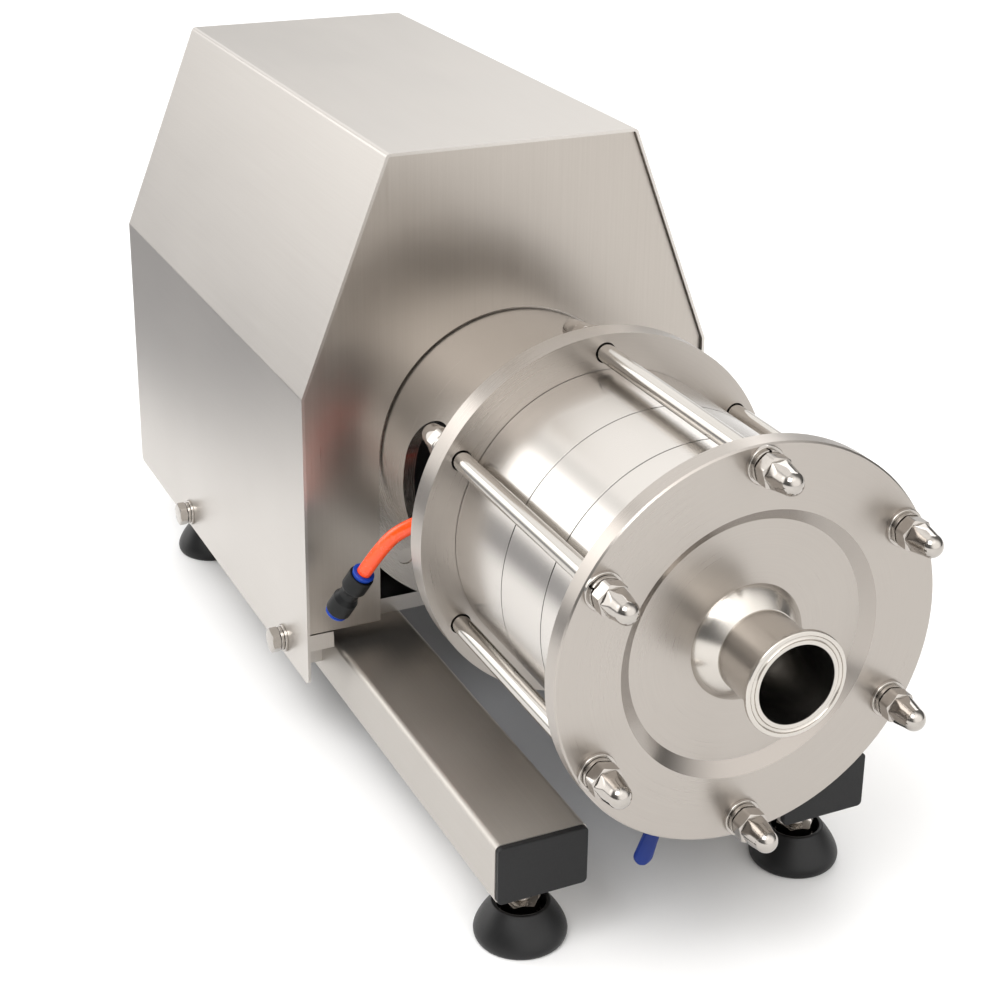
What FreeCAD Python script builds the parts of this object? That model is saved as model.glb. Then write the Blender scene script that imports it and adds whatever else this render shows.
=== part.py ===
import FreeCAD, Part
import math
import os

# Three-stage emulsifying pump on a rail frame, in millimetres.
# X is across the machine, Y runs from the inlet (low) to the hood's rear (high), Z is up.
# The origin is on the floor, at the centre of the machine's footprint.

Vector = FreeCAD.Vector
ACROSS = Vector(1, 0, 0)
ALONG = Vector(0, 1, 0)
UP = Vector(0, 0, 1)

# General fits
running_gap = 0.05          # turning shaft in a bored part, on the radius
seat_gap = 0.1              # parts pushed together by hand, on the radius
sheet_gap = 0.3             # sheet metal beside its neighbour

# Frame of two rectangular tubes with a plate across them
foot_clear = 47.0           # floor to the underside of a rail
rail_width = 60.0
rail_height = 40.0
rail_wall = 2.5
rail_corner = 4.0
rail_spacing = 197.0        # between the rails' centre lines
rail_front = 60.0           # rail's front end behind the front cover's face
rail_length = 637.0
cap_head = 4.0              # end cap's visible thickness
cap_plug = 14.0
cap_wall = 2.0
cap_reveal = 0.6            # tube edge left bare round the cap
plate_thickness = 12.0
plate_length = 296.0
plate_tab_width = 17.5      # forward tabs beside the rails
plate_tab_length = 31.0
pad_thickness = 9.0
pad_width = 50.0
pad_length = 172.0

# Levelling feet
foot_inset = 26.0           # foot's centre from the rail's end
rear_foot_offset = 12.0     # the rear feet stand further out than the rail's middle
pad_base_radius = 28.0
pad_bulge_radius = 29.0
pad_bulge_height = 5.0
pad_rim_radius = 18.5
pad_height = 24.5
pad_cup_radius = 15.5
pad_cup_floor = 14.0
stud_radius = 6.0
stud_flange_radius = 13.8
stud_flange_height = 3.0
stud_collar_across = 22.0
stud_collar_height = 10.0
stud_reach = 30.0           # above the underside of the rail
stud_foot_length = 9.0      # below the collar, inside the pad
lock_nut_across = 19.0
lock_nut_height = 6.5
insert_across = 24.0        # threaded block inside the rail
insert_height = 11.0
foot_travel = 20.0

# Motor, frame size 112, with feet and a flange
shaft_height = 112.0
motor_flange_radius = 125.0
motor_flange_thickness = 12.0
motor_spigot_radius = 90.0
motor_spigot_depth = 4.0
flange_bolt_circle = 107.5
flange_bolt_radius = 6.0
motor_shell_radius = 103.0
motor_bore_radius = 92.0
fin_radius = 112.0
fin_width = 3.0
fin_count = 44
motor_shell_length = 208.0
shield_depth = 16.0
shield_neck_radius = 95.0   # leaves room for the flange's bolt heads
shield_boss_radius = 42.0
motor_foot_width = 44.0
motor_foot_thickness = 12.0
motor_foot_length = 40.0
motor_foot_half_span = 95.0
foot_end_gap = 6.0          # shell left behind the rear feet
motor_foot_first = 70.0     # first foot hole behind the flange face
foot_bolt_radius = 5.0
motor_shaft_radius = 14.0
motor_shaft_reach = 60.0
bearing_outer_radius = 31.0
bearing_width = 16.0
bearing_split_outer = 26.0
bearing_split_inner = 20.0
core_length = 120.0
core_bore_radius = 62.0
air_gap = 0.6
winding_reach = 24.0
fan_radius = 88.0
fan_blades = 7
fan_depth = 24.0
cowl_radius = 110.0
cowl_wall = 2.0
cowl_length = 88.0
cowl_slot = 6.0
box_width = 104.0           # terminal box
box_length = 104.0
box_height = 40.0
box_wall = 4.0
box_lid = 12.0
gland_radius = 11.0
gland_length = 24.0

# Lantern between the pump head and the motor
lantern_radius = 95.0
lantern_wall = 8.0
lantern_length = 133.5
lantern_flange = 12.0
lantern_nose = 12.0
lantern_nose_bore = 58.0
lantern_screw_circle = 76.0
lantern_screw_radius = 4.0
window_front = 15.5         # window's front edge behind the back plate
window_width = 64.0
window_height = 104.0

# Pump head
disc_radius = 123.0         # front cover and back plate
cover_thickness = 12.0
back_thickness = 17.0
recess_outer = 83.0
recess_inner = 75.0
recess_depth = 6.0
stage_radius = 100.0
stage_bore = 80.0
stage_edge = 0.5            # chamfer that shows where two rings meet
stage_length = 52.5
last_stage_length = 66.5
partition = 8.0
eye_radius = 34.0
vane_count = 8
vane_width = 3.0
vane_height = 9.0
rod_circle = 111.0
rod_radius = 6.0
rod_hole_radius = 6.8
rod_count = 6
washer_radius = 11.6
washer_thickness = 2.5
spring_washer_radius = 10.2
spring_washer_thickness = 3.0
nut_across = 18.0
nut_height = 9.0
cap_nut_across = 16.0
cap_nut_height = 19.0
rod_end = 27.0              # rod's length outside a plate

# O-rings in the joints of the casing
oring_circle = 90.0
oring_thickness = 2.5
groove_width = 3.4
groove_depth = 2.6

# Clamp ports
inlet_reach = 46.0
inlet_tube_radius = 25.5
inlet_bore_radius = 23.9
inlet_ferrule_radius = 32.0
inlet_boss_radius = 36.0
inlet_boss_length = 12.0
outlet_tube_radius = 19.05
outlet_bore_radius = 17.4
outlet_ferrule_radius = 25.25
outlet_half_reach = 150.0   # ferrule's face from the pump's axis
outlet_boss_radius = 27.0
outlet_boss_length = 9.0
ferrule_lip = 2.9
ferrule_slope = 0.364       # tangent of the 20 degree clamp taper
gasket_groove = 3.2
gasket_groove_depth = 1.2

# Rotors, stators and the shaft that carries the rotors
teeth = 18
tooth_slot = 3.2
tooth_height = 16.0
ring_thickness = 6.0
ring_gap = 0.8
first_ring = 44.0           # inner radius of the innermost toothed ring
stator_plate = 6.0
stator_hole = 36.0
rotor_clear = 2.0           # tooth tips to the plate that they face
rotor_disc = 8.0
hub_radius = 22.0
blade_count = 6
blade_width = 4.0
pump_shaft_radius = 14.0
rotor_nut_radius = 20.0
rotor_nut_length = 15.5
hub_setback = 8.0           # first rotor's hub behind the front of its teeth
stub_radius = 24.0
stub_start = 52.0           # stub's shoulder behind the back plate
clamp_radius = 36.0
clamp_width = 20.0
clamp_slit = 3.0
clamp_screw_radius = 3.0

# Mechanical seal
sleeve_radius = 18.0
seal_seat_radius = 29.0
seal_seat_width = 8.0
seal_ring_radius = 26.0
seal_ring_width = 10.0
spring_wire = 1.6
spring_turns = 4
gland_outer_radius = 44.0
gland_depth = 38.0
port_offset = 24.5          # flush port behind the back plate

# Flush tube with its fitting and union
tube_radius = 5.0
tube_bore_radius = 3.25
fitting_across = 17.0
fitting_hex = 6.0
fitting_radius = 8.2
fitting_body = 8.0
collet_radius = 7.4
collet_width = 3.0
union_radius = 8.6
union_waist_radius = 6.6
union_barrel = 15.0
union_length = 42.0
union_stop = 2.0            # wall between the union's two sockets

# Drain valve under the first stage
drain_angle = 20.0          # from straight down, towards low X
valve_radius_at_axis = 114.0
valve_across = 20.0
valve_hex_length = 18.0
valve_thread_radius = 6.5
valve_end_radius = 8.0
valve_end_length = 10.0
valve_bore_radius = 4.0
valve_ball_radius = 6.6
spindle_radius = 3.0
lever_offset = 15.0         # lever's middle in front of the valve's axis
lever_thickness = 3.0
lever_length = 39.0
lever_width = 10.5
lever_tip_radius = 6.4

# Sheet-metal hood
hood_gap = 115.5            # hood's front edge behind the back plate
hood_length = 420.0
hood_half_width = 151.0
hood_top_half_width = 90.0
hood_bottom = 62.5
hood_bend_height = 274.0
hood_height = 432.0
hood_sheet = 2.0
hood_bend_radius = 3.5
hood_corner_radius = 5.0
panel_inset = 3.0
panel_bottom = 100.0
cutout_gap = 1.5            # cut-out round the lantern
vent_rows = 9
vent_pitch = 15.0
vent_height = 6.0
vent_reach = 82.0
vent_web = 12.0
hood_bolt_height = 75.0
hood_bolt_first = 50.0
hood_bolt_pitch = 225.0
hood_bolt_radius = 5.0
hood_bolt_across = 16.0
hood_bolt_head = 6.4
hood_washer_radius = 10.0
bracket_length = 30.0
bracket_height = 28.0

# Places along Y, from the overall length
hood_front_from_face = (cover_thickness + 2 * stage_length + last_stage_length
                        + back_thickness + hood_gap)
overall_length = inlet_reach + hood_front_from_face + hood_length
face_y = -overall_length / 2 + inlet_reach
cover_back_y = face_y + cover_thickness
stage_y = [cover_back_y + stage_length * i for i in range(3)]
back_front_y = stage_y[2] + last_stage_length
back_rear_y = back_front_y + back_thickness
hood_front_y = back_rear_y + hood_gap
hood_rear_y = hood_front_y + hood_length
motor_face_y = back_rear_y + lantern_length
rail_front_y = face_y + rail_front
rail_rear_y = rail_front_y + rail_length
foot_ys = [rail_front_y + foot_inset, rail_rear_y - foot_inset]
shell_front_y = motor_face_y + motor_flange_thickness + shield_depth
shell_rear_y = shell_front_y + motor_shell_length
cowl_front_y = shell_rear_y + shield_depth
motor_foot_pitch = shell_rear_y - foot_end_gap - motor_foot_length / 2 - motor_face_y - motor_foot_first

# Places along Z
rail_top = foot_clear + rail_height
plate_top = rail_top + plate_thickness
pad_top = plate_top + pad_thickness
axis_z = pad_top + shaft_height

# Places across X
rail_x = rail_spacing / 2
rail_outer_x = rail_x + rail_width / 2
foot_xs = [rail_x, rail_x + rear_foot_offset]
hood_inner_x = hood_half_width - hood_sheet


def box(x0, x1, y0, y1, z0, z1):
    """Rectangular block between two opposite corners."""
    return Part.makeBox(x1 - x0, y1 - y0, z1 - z0, Vector(x0, y0, z0))


def cylinder(radius, start, direction, length):
    """Plain cylinder from a start point along a direction."""
    return Part.makeCylinder(radius, length, start, direction)


def axial(radius, y0, y1):
    """Cylinder on the pump's axis."""
    return cylinder(radius, Vector(0, y0, axis_z), ALONG, y1 - y0)


def turned(outline):
    """Solid of revolution about the pump's axis from (y, radius) corners."""
    points = [Vector(0, y, axis_z + r) for y, r in outline]
    face = Part.Face(Part.makePolygon(points + points[:1]))
    return face.revolve(Vector(0, 0, axis_z), ALONG, 360)


def turned_upright(outline):
    """Solid of revolution about the Z axis from (radius, z) corners."""
    points = [Vector(r, 0, z) for r, z in outline]
    face = Part.Face(Part.makePolygon(points + points[:1]))
    return face.revolve(Vector(0, 0, 0), UP, 360)


def ring(outer, inner, y0, y1):
    """Flat ring on the pump's axis."""
    return turned([(y0, inner), (y0, outer), (y1, outer), (y1, inner)])


def hexagon(across, start, direction, length, turn=0.0):
    """Hexagonal bar with the given width across flats."""
    corner = across / math.sqrt(3)
    angles = [math.radians(60 * i) for i in range(6)]
    points = [Vector(corner * math.cos(a), corner * math.sin(a), 0) for a in angles]
    bar = Part.Face(Part.makePolygon(points + points[:1])).extrude(Vector(0, 0, length))
    bar.rotate(Vector(0, 0, 0), UP, turn)
    bar.Placement = FreeCAD.Placement(start, FreeCAD.Rotation(UP, direction)).multiply(bar.Placement)
    return bar


def around(shape, count, first=0.0):
    """Copies of a shape spaced evenly round the pump's axis."""
    copies = []
    for i in range(count):
        copy = shape.copy()
        copy.rotate(Vector(0, 0, axis_z), ALONG, first + 360.0 * i / count)
        copies.append(copy)
    return copies


def mirrored(shape):
    """The same shape on the other side of the machine."""
    return shape.mirror(Vector(0, 0, 0), ACROSS)


def joined(first, *others):
    """One solid from pieces that are welded or cast together."""
    return first.fuse(list(others)).removeSplitter()


def export(name, *shapes):
    """Writes the solids of one node to its file."""
    solids = [s for shape in shapes for s in shape.Solids]
    whole = solids[0] if len(solids) == 1 else Part.makeCompound(solids)
    whole.exportStep(os.path.join("parts", name + ".step"))


# Frame


def rail():
    """Right-hand rail: a rounded tube with foot inserts and hood brackets welded on."""
    def bar(inset, radius):
        block = box(rail_x - rail_width / 2 + inset, rail_outer_x - inset,
                    rail_front_y, rail_rear_y, foot_clear + inset, rail_top - inset)
        long_edges = [e for e in block.Edges if abs(e.tangentAt(e.FirstParameter).y) > 0.9]
        return block.makeFillet(radius, long_edges)

    tube = bar(0, rail_corner).cut(bar(rail_wall, rail_corner - rail_wall))
    for x, y in zip(foot_xs, foot_ys):
        half = insert_across / 2
        floor = foot_clear + rail_wall
        insert = box(x - half, x + half, y - half, y + half, floor, floor + insert_height)
        tube = joined(tube, insert)
        hole = cylinder(stud_radius + seat_gap, Vector(x, y, 0), UP, rail_top - 2 * rail_wall)
        tube = tube.cut(hole)
    for i in range(2):
        y = hood_front_y + hood_bolt_first + hood_bolt_pitch * i
        half = bracket_length / 2
        bracket = box(rail_outer_x - rail_wall, hood_inner_x - sheet_gap, y - half, y + half,
                      rail_top - bracket_height, rail_top - rail_corner)
        thread = cylinder(hood_bolt_radius + seat_gap, Vector(rail_outer_x - 2 * rail_wall, y, hood_bolt_height),
                          ACROSS, hood_half_width)
        tube = joined(tube, bracket).cut(thread)
    return tube


def end_cap(y, outward):
    """Plastic plug for the right rail's end at y, with its head on the outside."""
    head = box(rail_x - rail_width / 2 + cap_reveal, rail_outer_x - cap_reveal,
               min(y, y + outward * cap_head), max(y, y + outward * cap_head),
               foot_clear + cap_reveal, rail_top - cap_reveal)
    head = head.makeFillet(rail_corner - cap_reveal,
                           [e for e in head.Edges if abs(e.tangentAt(e.FirstParameter).y) > 0.9])
    front = [e for e in head.Edges if abs(e.CenterOfMass.y - (y + outward * cap_head)) < 0.01]
    head = head.makeFillet(1.0, front)
    inset = rail_wall + seat_gap
    inner = y - outward * cap_plug
    plug = box(rail_x - rail_width / 2 + inset, rail_outer_x - inset, min(y, inner), max(y, inner),
               foot_clear + inset, rail_top - inset)
    plug = plug.makeFillet(rail_corner - inset,
                           [e for e in plug.Edges if abs(e.tangentAt(e.FirstParameter).y) > 0.9])
    inset += cap_wall
    hollow = box(rail_x - rail_width / 2 + inset, rail_outer_x - inset, min(y, inner), max(y, inner),
                 foot_clear + inset, rail_top - inset)
    return joined(head, plug.cut(hollow))


def base_plate():
    """Plate across the rails with two strips under the motor's feet and two forward tabs."""
    rear = hood_front_y + panel_inset + plate_tab_length + plate_length
    front = rear - plate_length
    half = hood_inner_x - 2 * sheet_gap
    plate = box(-half, half, front, rear, rail_top, plate_top)
    tab = box(half - plate_tab_width, half, hood_front_y + panel_inset, front, rail_top, plate_top)
    strip_y = motor_face_y + motor_foot_first + motor_foot_pitch / 2
    strip = box(motor_foot_half_span - pad_width / 2, motor_foot_half_span + pad_width / 2,
                strip_y - pad_length / 2, strip_y + pad_length / 2, plate_top, pad_top)
    plate = joined(plate, tab, mirrored(tab), strip, mirrored(strip))
    for y in (strip_y - motor_foot_pitch / 2, strip_y + motor_foot_pitch / 2):
        for side in (-1, 1):
            place = Vector(side * motor_foot_half_span, y, rail_top)
            plate = plate.cut(cylinder(foot_bolt_radius + seat_gap, place, UP, pad_top - rail_top))
    return plate


# Levelling feet


def foot_pad():
    """Moulded foot: a bulging cone with a cup for the stud's collar, about the Z axis."""
    base = Part.makePolygon([Vector(0, 0, 0), Vector(pad_base_radius, 0, 0)])
    heel = Part.Arc(Vector(pad_base_radius, 0, 0), Vector(pad_bulge_radius - 0.3, 0, 0.45 * pad_bulge_height),
                    Vector(pad_bulge_radius, 0, pad_bulge_height)).toShape()
    middle = Vector((pad_bulge_radius + pad_rim_radius) / 2 + 1.2, 0, (pad_bulge_height + pad_height) / 2 + 0.8)
    flank = Part.Arc(Vector(pad_bulge_radius, 0, pad_bulge_height), middle,
                     Vector(pad_rim_radius, 0, pad_height)).toShape()
    rest = Part.makePolygon([Vector(pad_rim_radius, 0, pad_height), Vector(pad_cup_radius, 0, pad_height),
                             Vector(pad_cup_radius, 0, pad_cup_floor),
                             Vector(stud_radius + seat_gap, 0, pad_cup_floor),
                             Vector(stud_radius + seat_gap, 0, pad_cup_floor - stud_foot_length),
                             Vector(0, 0, pad_cup_floor - stud_foot_length), Vector(0, 0, 0)])
    edges = base.Edges + [heel, flank] + rest.Edges
    return Part.Face(Part.Wire(edges)).revolve(Vector(0, 0, 0), UP, 360)


def foot_stud():
    """Threaded stud with a flanged hexagonal collar that sits in the pad's cup."""
    low = pad_cup_floor - stud_foot_length
    stem = cylinder(stud_radius, Vector(0, 0, low), UP, foot_clear + stud_reach - low)
    flange = cylinder(stud_flange_radius, Vector(0, 0, pad_cup_floor), UP, stud_flange_height)
    collar = hexagon(stud_collar_across, Vector(0, 0, pad_cup_floor), UP, stud_flange_height + stud_collar_height)
    return joined(stem, flange, collar)


def foot_lock_nut():
    """Thin nut run up against the underside of a rail."""
    low = foot_clear - lock_nut_height
    nut = hexagon(lock_nut_across, Vector(0, 0, low), UP, lock_nut_height, 12)
    return nut.cut(cylinder(stud_radius + seat_gap, Vector(0, 0, low), UP, lock_nut_height))


# Motor


def motor_housing():
    """Finned shell with cast feet and a flat for the terminal box."""
    middle = (shell_front_y + shell_rear_y) / 2
    shell = axial(motor_shell_radius, shell_front_y, shell_rear_y)
    fin = box(-fin_width / 2, fin_width / 2, shell_front_y, shell_rear_y,
              axis_z + motor_shell_radius - 1, axis_z + fin_radius)
    fins = [f for f in around(fin, fin_count)
            if abs(f.CenterOfMass.x) > box_width / 2 + fin_width or f.CenterOfMass.z < axis_z]
    fins = [f for f in fins if f.CenterOfMass.z > axis_z - 0.7 * motor_shell_radius]
    saddle = box(-box_width / 2, box_width / 2, middle - box_length / 2, middle + box_length / 2,
                 axis_z + 0.7 * motor_shell_radius, axis_z + fin_radius)
    first = motor_face_y + motor_foot_first
    legs = []
    for y in (first, first + motor_foot_pitch):
        low = box(motor_foot_half_span - motor_foot_width / 2, motor_foot_half_span + motor_foot_width / 2,
                  y - motor_foot_length / 2, y + motor_foot_length / 2, pad_top, pad_top + motor_foot_thickness)
        web = box(0.55 * motor_shell_radius, motor_foot_half_span - motor_foot_width / 4,
                  y - motor_foot_length / 2, y + motor_foot_length / 2, pad_top, axis_z - 0.45 * motor_shell_radius)
        legs += [low, web, mirrored(low), mirrored(web)]
    whole = joined(shell, saddle, *fins, *legs)
    whole = whole.cut(axial(motor_bore_radius, shell_front_y, shell_rear_y))
    for y in (first, first + motor_foot_pitch):
        for side in (-1, 1):
            place = Vector(side * motor_foot_half_span, y, pad_top)
            whole = whole.cut(cylinder(foot_bolt_radius + seat_gap, place, UP, motor_foot_thickness))
    return whole


def bearing_seat(y0, y1, open_side):
    """Bored hub that holds a bearing, from (y, radius) corners."""
    bore = bearing_outer_radius + seat_gap
    lip = bearing_split_outer
    if open_side > 0:
        return [(y1, bore), (y1 - bearing_width, bore), (y1 - bearing_width, lip), (y0, lip)]
    return [(y1, lip), (y0 + bearing_width, lip), (y0 + bearing_width, bore), (y0, bore)]


def motor_front_shield():
    """End shield with the mounting flange and the front bearing's seat."""
    nose = motor_face_y - motor_spigot_depth
    flange_back = motor_face_y + motor_flange_thickness
    hub_end = flange_back + shield_depth + 6
    shield = turned([(nose, motor_spigot_radius), (motor_face_y, motor_spigot_radius),
                     (motor_face_y, motor_flange_radius), (flange_back, motor_flange_radius),
                     (flange_back, shield_neck_radius), (flange_back + 10, shield_neck_radius),
                     (shell_front_y, motor_shell_radius),
                     (shell_front_y, motor_bore_radius - seat_gap), (shell_front_y + 6, motor_bore_radius - seat_gap),
                     (shell_front_y + 6, motor_bore_radius - 6), (flange_back, motor_bore_radius - 8),
                     (flange_back, shield_boss_radius), (hub_end, shield_boss_radius)]
                    + bearing_seat(nose, hub_end, 1))
    hole = cylinder(flange_bolt_radius + seat_gap,
                    Vector(0, nose, axis_z + flange_bolt_circle), ALONG, flange_back - nose)
    return shield.cut(Part.makeCompound(around(hole, 4, 45)))


def motor_rear_shield():
    """End shield with the rear bearing's seat and a shoulder for the fan cowl."""
    hub_front = shell_rear_y - 6
    return turned([(hub_front, shield_boss_radius), (shell_rear_y + 4, shield_boss_radius),
                   (shell_rear_y + 4, motor_bore_radius - 8), (shell_rear_y - 6, motor_bore_radius - 6),
                   (shell_rear_y - 6, motor_bore_radius - seat_gap), (shell_rear_y, motor_bore_radius - seat_gap),
                   (shell_rear_y, motor_shell_radius), (cowl_front_y, motor_shell_radius)]
                  + bearing_seat(hub_front, cowl_front_y, -1))


def bearings():
    """Outer and inner races of the two closed motor bearings."""
    front_y = motor_face_y + motor_flange_thickness + shield_depth + 6 - bearing_width
    rear_y = shell_rear_y - 6
    outer = [ring(bearing_outer_radius, bearing_split_outer, y, y + bearing_width) for y in (front_y, rear_y)]
    shield_lip = bearing_split_inner + 0.4
    for i, y in enumerate((front_y, rear_y)):
        lips = [ring(bearing_split_outer + 0.2, shield_lip, y + 1, y + 2),
                ring(bearing_split_outer + 0.2, shield_lip, y + bearing_width - 2, y + bearing_width - 1)]
        outer[i] = joined(outer[i], *lips)
    inner = [ring(bearing_split_inner, motor_shaft_radius + 1, y, y + bearing_width) for y in (front_y, rear_y)]
    return outer, inner


def motor_rotor():
    """Shaft with its rotor core and end rings."""
    middle = (shell_front_y + shell_rear_y) / 2
    core = core_bore_radius - air_gap
    seat = motor_shaft_radius + 1
    tip = motor_face_y - motor_shaft_reach
    step = motor_face_y - motor_spigot_depth + 2
    tail = cowl_front_y + fan_depth + 10
    journal = cowl_front_y + 2
    half = core_length / 2
    return turned([(tip, 0), (tip, motor_shaft_radius - 1), (tip + 1, motor_shaft_radius),
                   (step, motor_shaft_radius), (step, seat), (shell_front_y + 8, seat),
                   (shell_front_y + 8, seat + 4), (middle - half - 10, seat + 4), (middle - half - 10, core - 16),
                   (middle - half - 10, core - 4), (middle - half, core - 4), (middle - half, core),
                   (middle + half, core), (middle + half, core - 4), (middle + half + 10, core - 4),
                   (middle + half + 10, seat + 4), (shell_rear_y - 8, seat + 4), (shell_rear_y - 8, seat),
                   (journal, seat), (journal, motor_shaft_radius - 2), (tail, motor_shaft_radius - 2), (tail, 0)])


def motor_stator():
    """Laminated core pressed into the housing, with the winding heads at its ends."""
    middle = (shell_front_y + shell_rear_y) / 2
    half = core_length / 2
    core = ring(motor_bore_radius - seat_gap, core_bore_radius, middle - half, middle + half)
    heads = []
    for side in (-1, 1):
        root = middle + side * half
        crest = root + side * winding_reach
        low = core_bore_radius + 6
        high = motor_bore_radius - 6
        heads.append(turned([(root, low), (root, high), (crest - side * 6, high), (crest, high - 4),
                             (crest, low + 5), (crest - side * 6, low)]))
    return [core] + heads


def fan():
    """Radial fan on the shaft's tail."""
    bore = motor_shaft_radius - 2 + running_gap
    start = cowl_front_y + 6
    hub = ring(22, bore, start, start + fan_depth)
    disc = ring(fan_radius, 20, start, start + 3)
    blade = box(-1.5, 1.5, start, start + fan_depth, axis_z + 20, axis_z + fan_radius)
    return joined(hub, disc, *around(blade, fan_blades))


def fan_cowl():
    """Pressed cowl over the fan, with rings of slots in its end."""
    end = cowl_front_y + cowl_length
    front = cowl_front_y - shield_depth + 4
    inner = cowl_radius - cowl_wall
    cowl = turned([(front, inner), (front, cowl_radius), (end - 10, cowl_radius), (end, cowl_radius - 12),
                   (end, 0), (end - cowl_wall, 0), (end - cowl_wall, cowl_radius - 14), (end - 10, inner)])
    slots = []
    for mean in (30.0, 48.0, 66.0, 84.0):
        band = ring(mean + cowl_slot / 2, mean - cowl_slot / 2, end - 2 * cowl_wall, end + cowl_wall)
        bars = [box(-4, 4, end - 4 * cowl_wall, end + 4 * cowl_wall, axis_z - cowl_radius, axis_z + cowl_radius)]
        bars += [box(-cowl_radius, cowl_radius, end - 4 * cowl_wall, end + 4 * cowl_wall, axis_z - 4, axis_z + 4)]
        slots.append(band.cut(Part.makeCompound(bars)))
    cowl = cowl.cut(Part.makeCompound(slots))
    spacer = box(-8, 8, front, cowl_front_y, axis_z + motor_shell_radius + seat_gap, axis_z + inner + 1)
    return joined(cowl, *around(spacer, 4, 45))


def terminal_box():
    """Open box on the housing's saddle with a cable gland in its side."""
    middle = (shell_front_y + shell_rear_y) / 2
    low = axis_z + fin_radius
    outer = box(-box_width / 2, box_width / 2, middle - box_length / 2, middle + box_length / 2,
                low, low + box_height)
    corners = [e for e in outer.Edges if abs(e.tangentAt(e.FirstParameter).z) > 0.9]
    outer = outer.makeFillet(8, corners)
    inner = box(-box_width / 2 + box_wall, box_width / 2 - box_wall, middle - box_length / 2 + box_wall,
                middle + box_length / 2 - box_wall, low + box_wall, low + box_height)
    inner = inner.makeFillet(4, [e for e in inner.Edges if abs(e.tangentAt(e.FirstParameter).z) > 0.9])
    place = Vector(box_width / 2 - 2 * box_wall, middle, low + box_height / 2)
    thread = cylinder(gland_radius - 2, place, ACROSS, 3 * box_wall)
    body = outer.cut(inner).cut(thread)
    stem = cylinder(gland_radius - 2 - seat_gap, place, ACROSS, 3 * box_wall)
    start = Vector(box_width / 2, middle, low + box_height / 2)
    nut = hexagon(2 * gland_radius, start, ACROSS, gland_length / 3)
    dome = cylinder(gland_radius - 1, start, ACROSS, gland_length)
    bore = cylinder(gland_radius / 2, place, ACROSS, gland_length + 3 * box_wall)
    return body, joined(stem, nut, dome).cut(bore)


def terminal_box_lid():
    """Lid of the terminal box with rounded upper edges."""
    middle = (shell_front_y + shell_rear_y) / 2
    low = axis_z + fin_radius + box_height
    lid = box(-box_width / 2, box_width / 2, middle - box_length / 2, middle + box_length / 2, low, low + box_lid)
    lid = lid.makeFillet(8, [e for e in lid.Edges if abs(e.tangentAt(e.FirstParameter).z) > 0.9])
    return lid.makeFillet(2, [e for e in lid.Edges if abs(e.CenterOfMass.z - low - box_lid) < 0.01])


def motor_foot_bolts():
    """Hexagon bolts through the motor's feet into the strips."""
    bolts = []
    first = motor_face_y + motor_foot_first
    for y in (first, first + motor_foot_pitch):
        for side in (-1, 1):
            low = Vector(side * motor_foot_half_span, y, rail_top + 1)
            top = Vector(side * motor_foot_half_span, y, pad_top + motor_foot_thickness)
            shank = cylinder(foot_bolt_radius, low, UP, top.z - low.z + 1)
            bolts.append(joined(shank, hexagon(16, top, UP, 6.4)))
    return bolts


# Lantern


def lantern():
    """Turned bell between the back plate and the motor, with a hand window on each side."""
    nose_end = back_rear_y + lantern_nose
    flange_front = motor_face_y - lantern_flange
    inner = lantern_radius - lantern_wall
    pilot = motor_spigot_radius + seat_gap
    bell = turned([(back_rear_y, lantern_nose_bore), (back_rear_y, lantern_radius),
                   (flange_front, lantern_radius), (flange_front, motor_flange_radius),
                   (motor_face_y, motor_flange_radius), (motor_face_y, pilot),
                   (motor_face_y - motor_spigot_depth - 1, pilot), (motor_face_y - motor_spigot_depth - 1, inner),
                   (nose_end, inner), (nose_end, lantern_nose_bore)])
    front = back_rear_y + window_front
    radius = window_width / 2
    middle = front + radius
    straight = window_height - window_width
    slot = box(-lantern_radius, lantern_radius, front, front + window_width,
               axis_z - straight / 2, axis_z + straight / 2)
    ends = [cylinder(radius, Vector(-lantern_radius, middle, axis_z + s * straight / 2), ACROSS, 2 * lantern_radius)
            for s in (-1, 1)]
    bell = bell.cut(joined(slot, *ends))
    screw = cylinder(lantern_screw_radius + seat_gap,
                     Vector(0, back_rear_y, axis_z + lantern_screw_circle), ALONG, lantern_nose)
    bolt = cylinder(flange_bolt_radius + seat_gap,
                    Vector(0, flange_front, axis_z + flange_bolt_circle), ALONG, lantern_flange)
    return bell.cut(Part.makeCompound(around(screw, rod_count, 30) + around(bolt, 4, 45)))


def lantern_bolts():
    """Socket screws into the back plate, and bolts from the motor's side into the lantern's flange."""
    head_y = back_rear_y + lantern_nose
    screw_at = Vector(0, back_rear_y - back_thickness + 3, axis_z + lantern_screw_circle)
    shank = cylinder(lantern_screw_radius, screw_at, ALONG, head_y - screw_at.y + 1)
    head = cylinder(6.5, Vector(0, head_y, axis_z + lantern_screw_circle), ALONG, 6)
    socket = hexagon(6, Vector(0, head_y + 3, axis_z + lantern_screw_circle), ALONG, 3)
    screw = joined(shank, head).cut(socket)
    flange_front = motor_face_y - lantern_flange
    flange_back = motor_face_y + motor_flange_thickness
    start = Vector(0, flange_front + 1, axis_z + flange_bolt_circle)
    stem = cylinder(flange_bolt_radius, start, ALONG, flange_back - flange_front)
    bolt_head = hexagon(18, Vector(0, flange_back, start.z), ALONG, 7.5)
    return around(screw, rod_count, 30) + around(joined(stem, bolt_head), 4, 45)


# Pump head


def rod_holes(y0, y1):
    """Clearance holes for the tie rods through one disc."""
    hole = cylinder(rod_hole_radius, Vector(0, y0, axis_z + rod_circle), ALONG, y1 - y0)
    return Part.makeCompound(around(hole, rod_count))


def oring_groove(y):
    """Groove for an O-ring in a face that looks towards low Y."""
    return ring(oring_circle + groove_width / 2, oring_circle - groove_width / 2, y, y + groove_depth)


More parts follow.
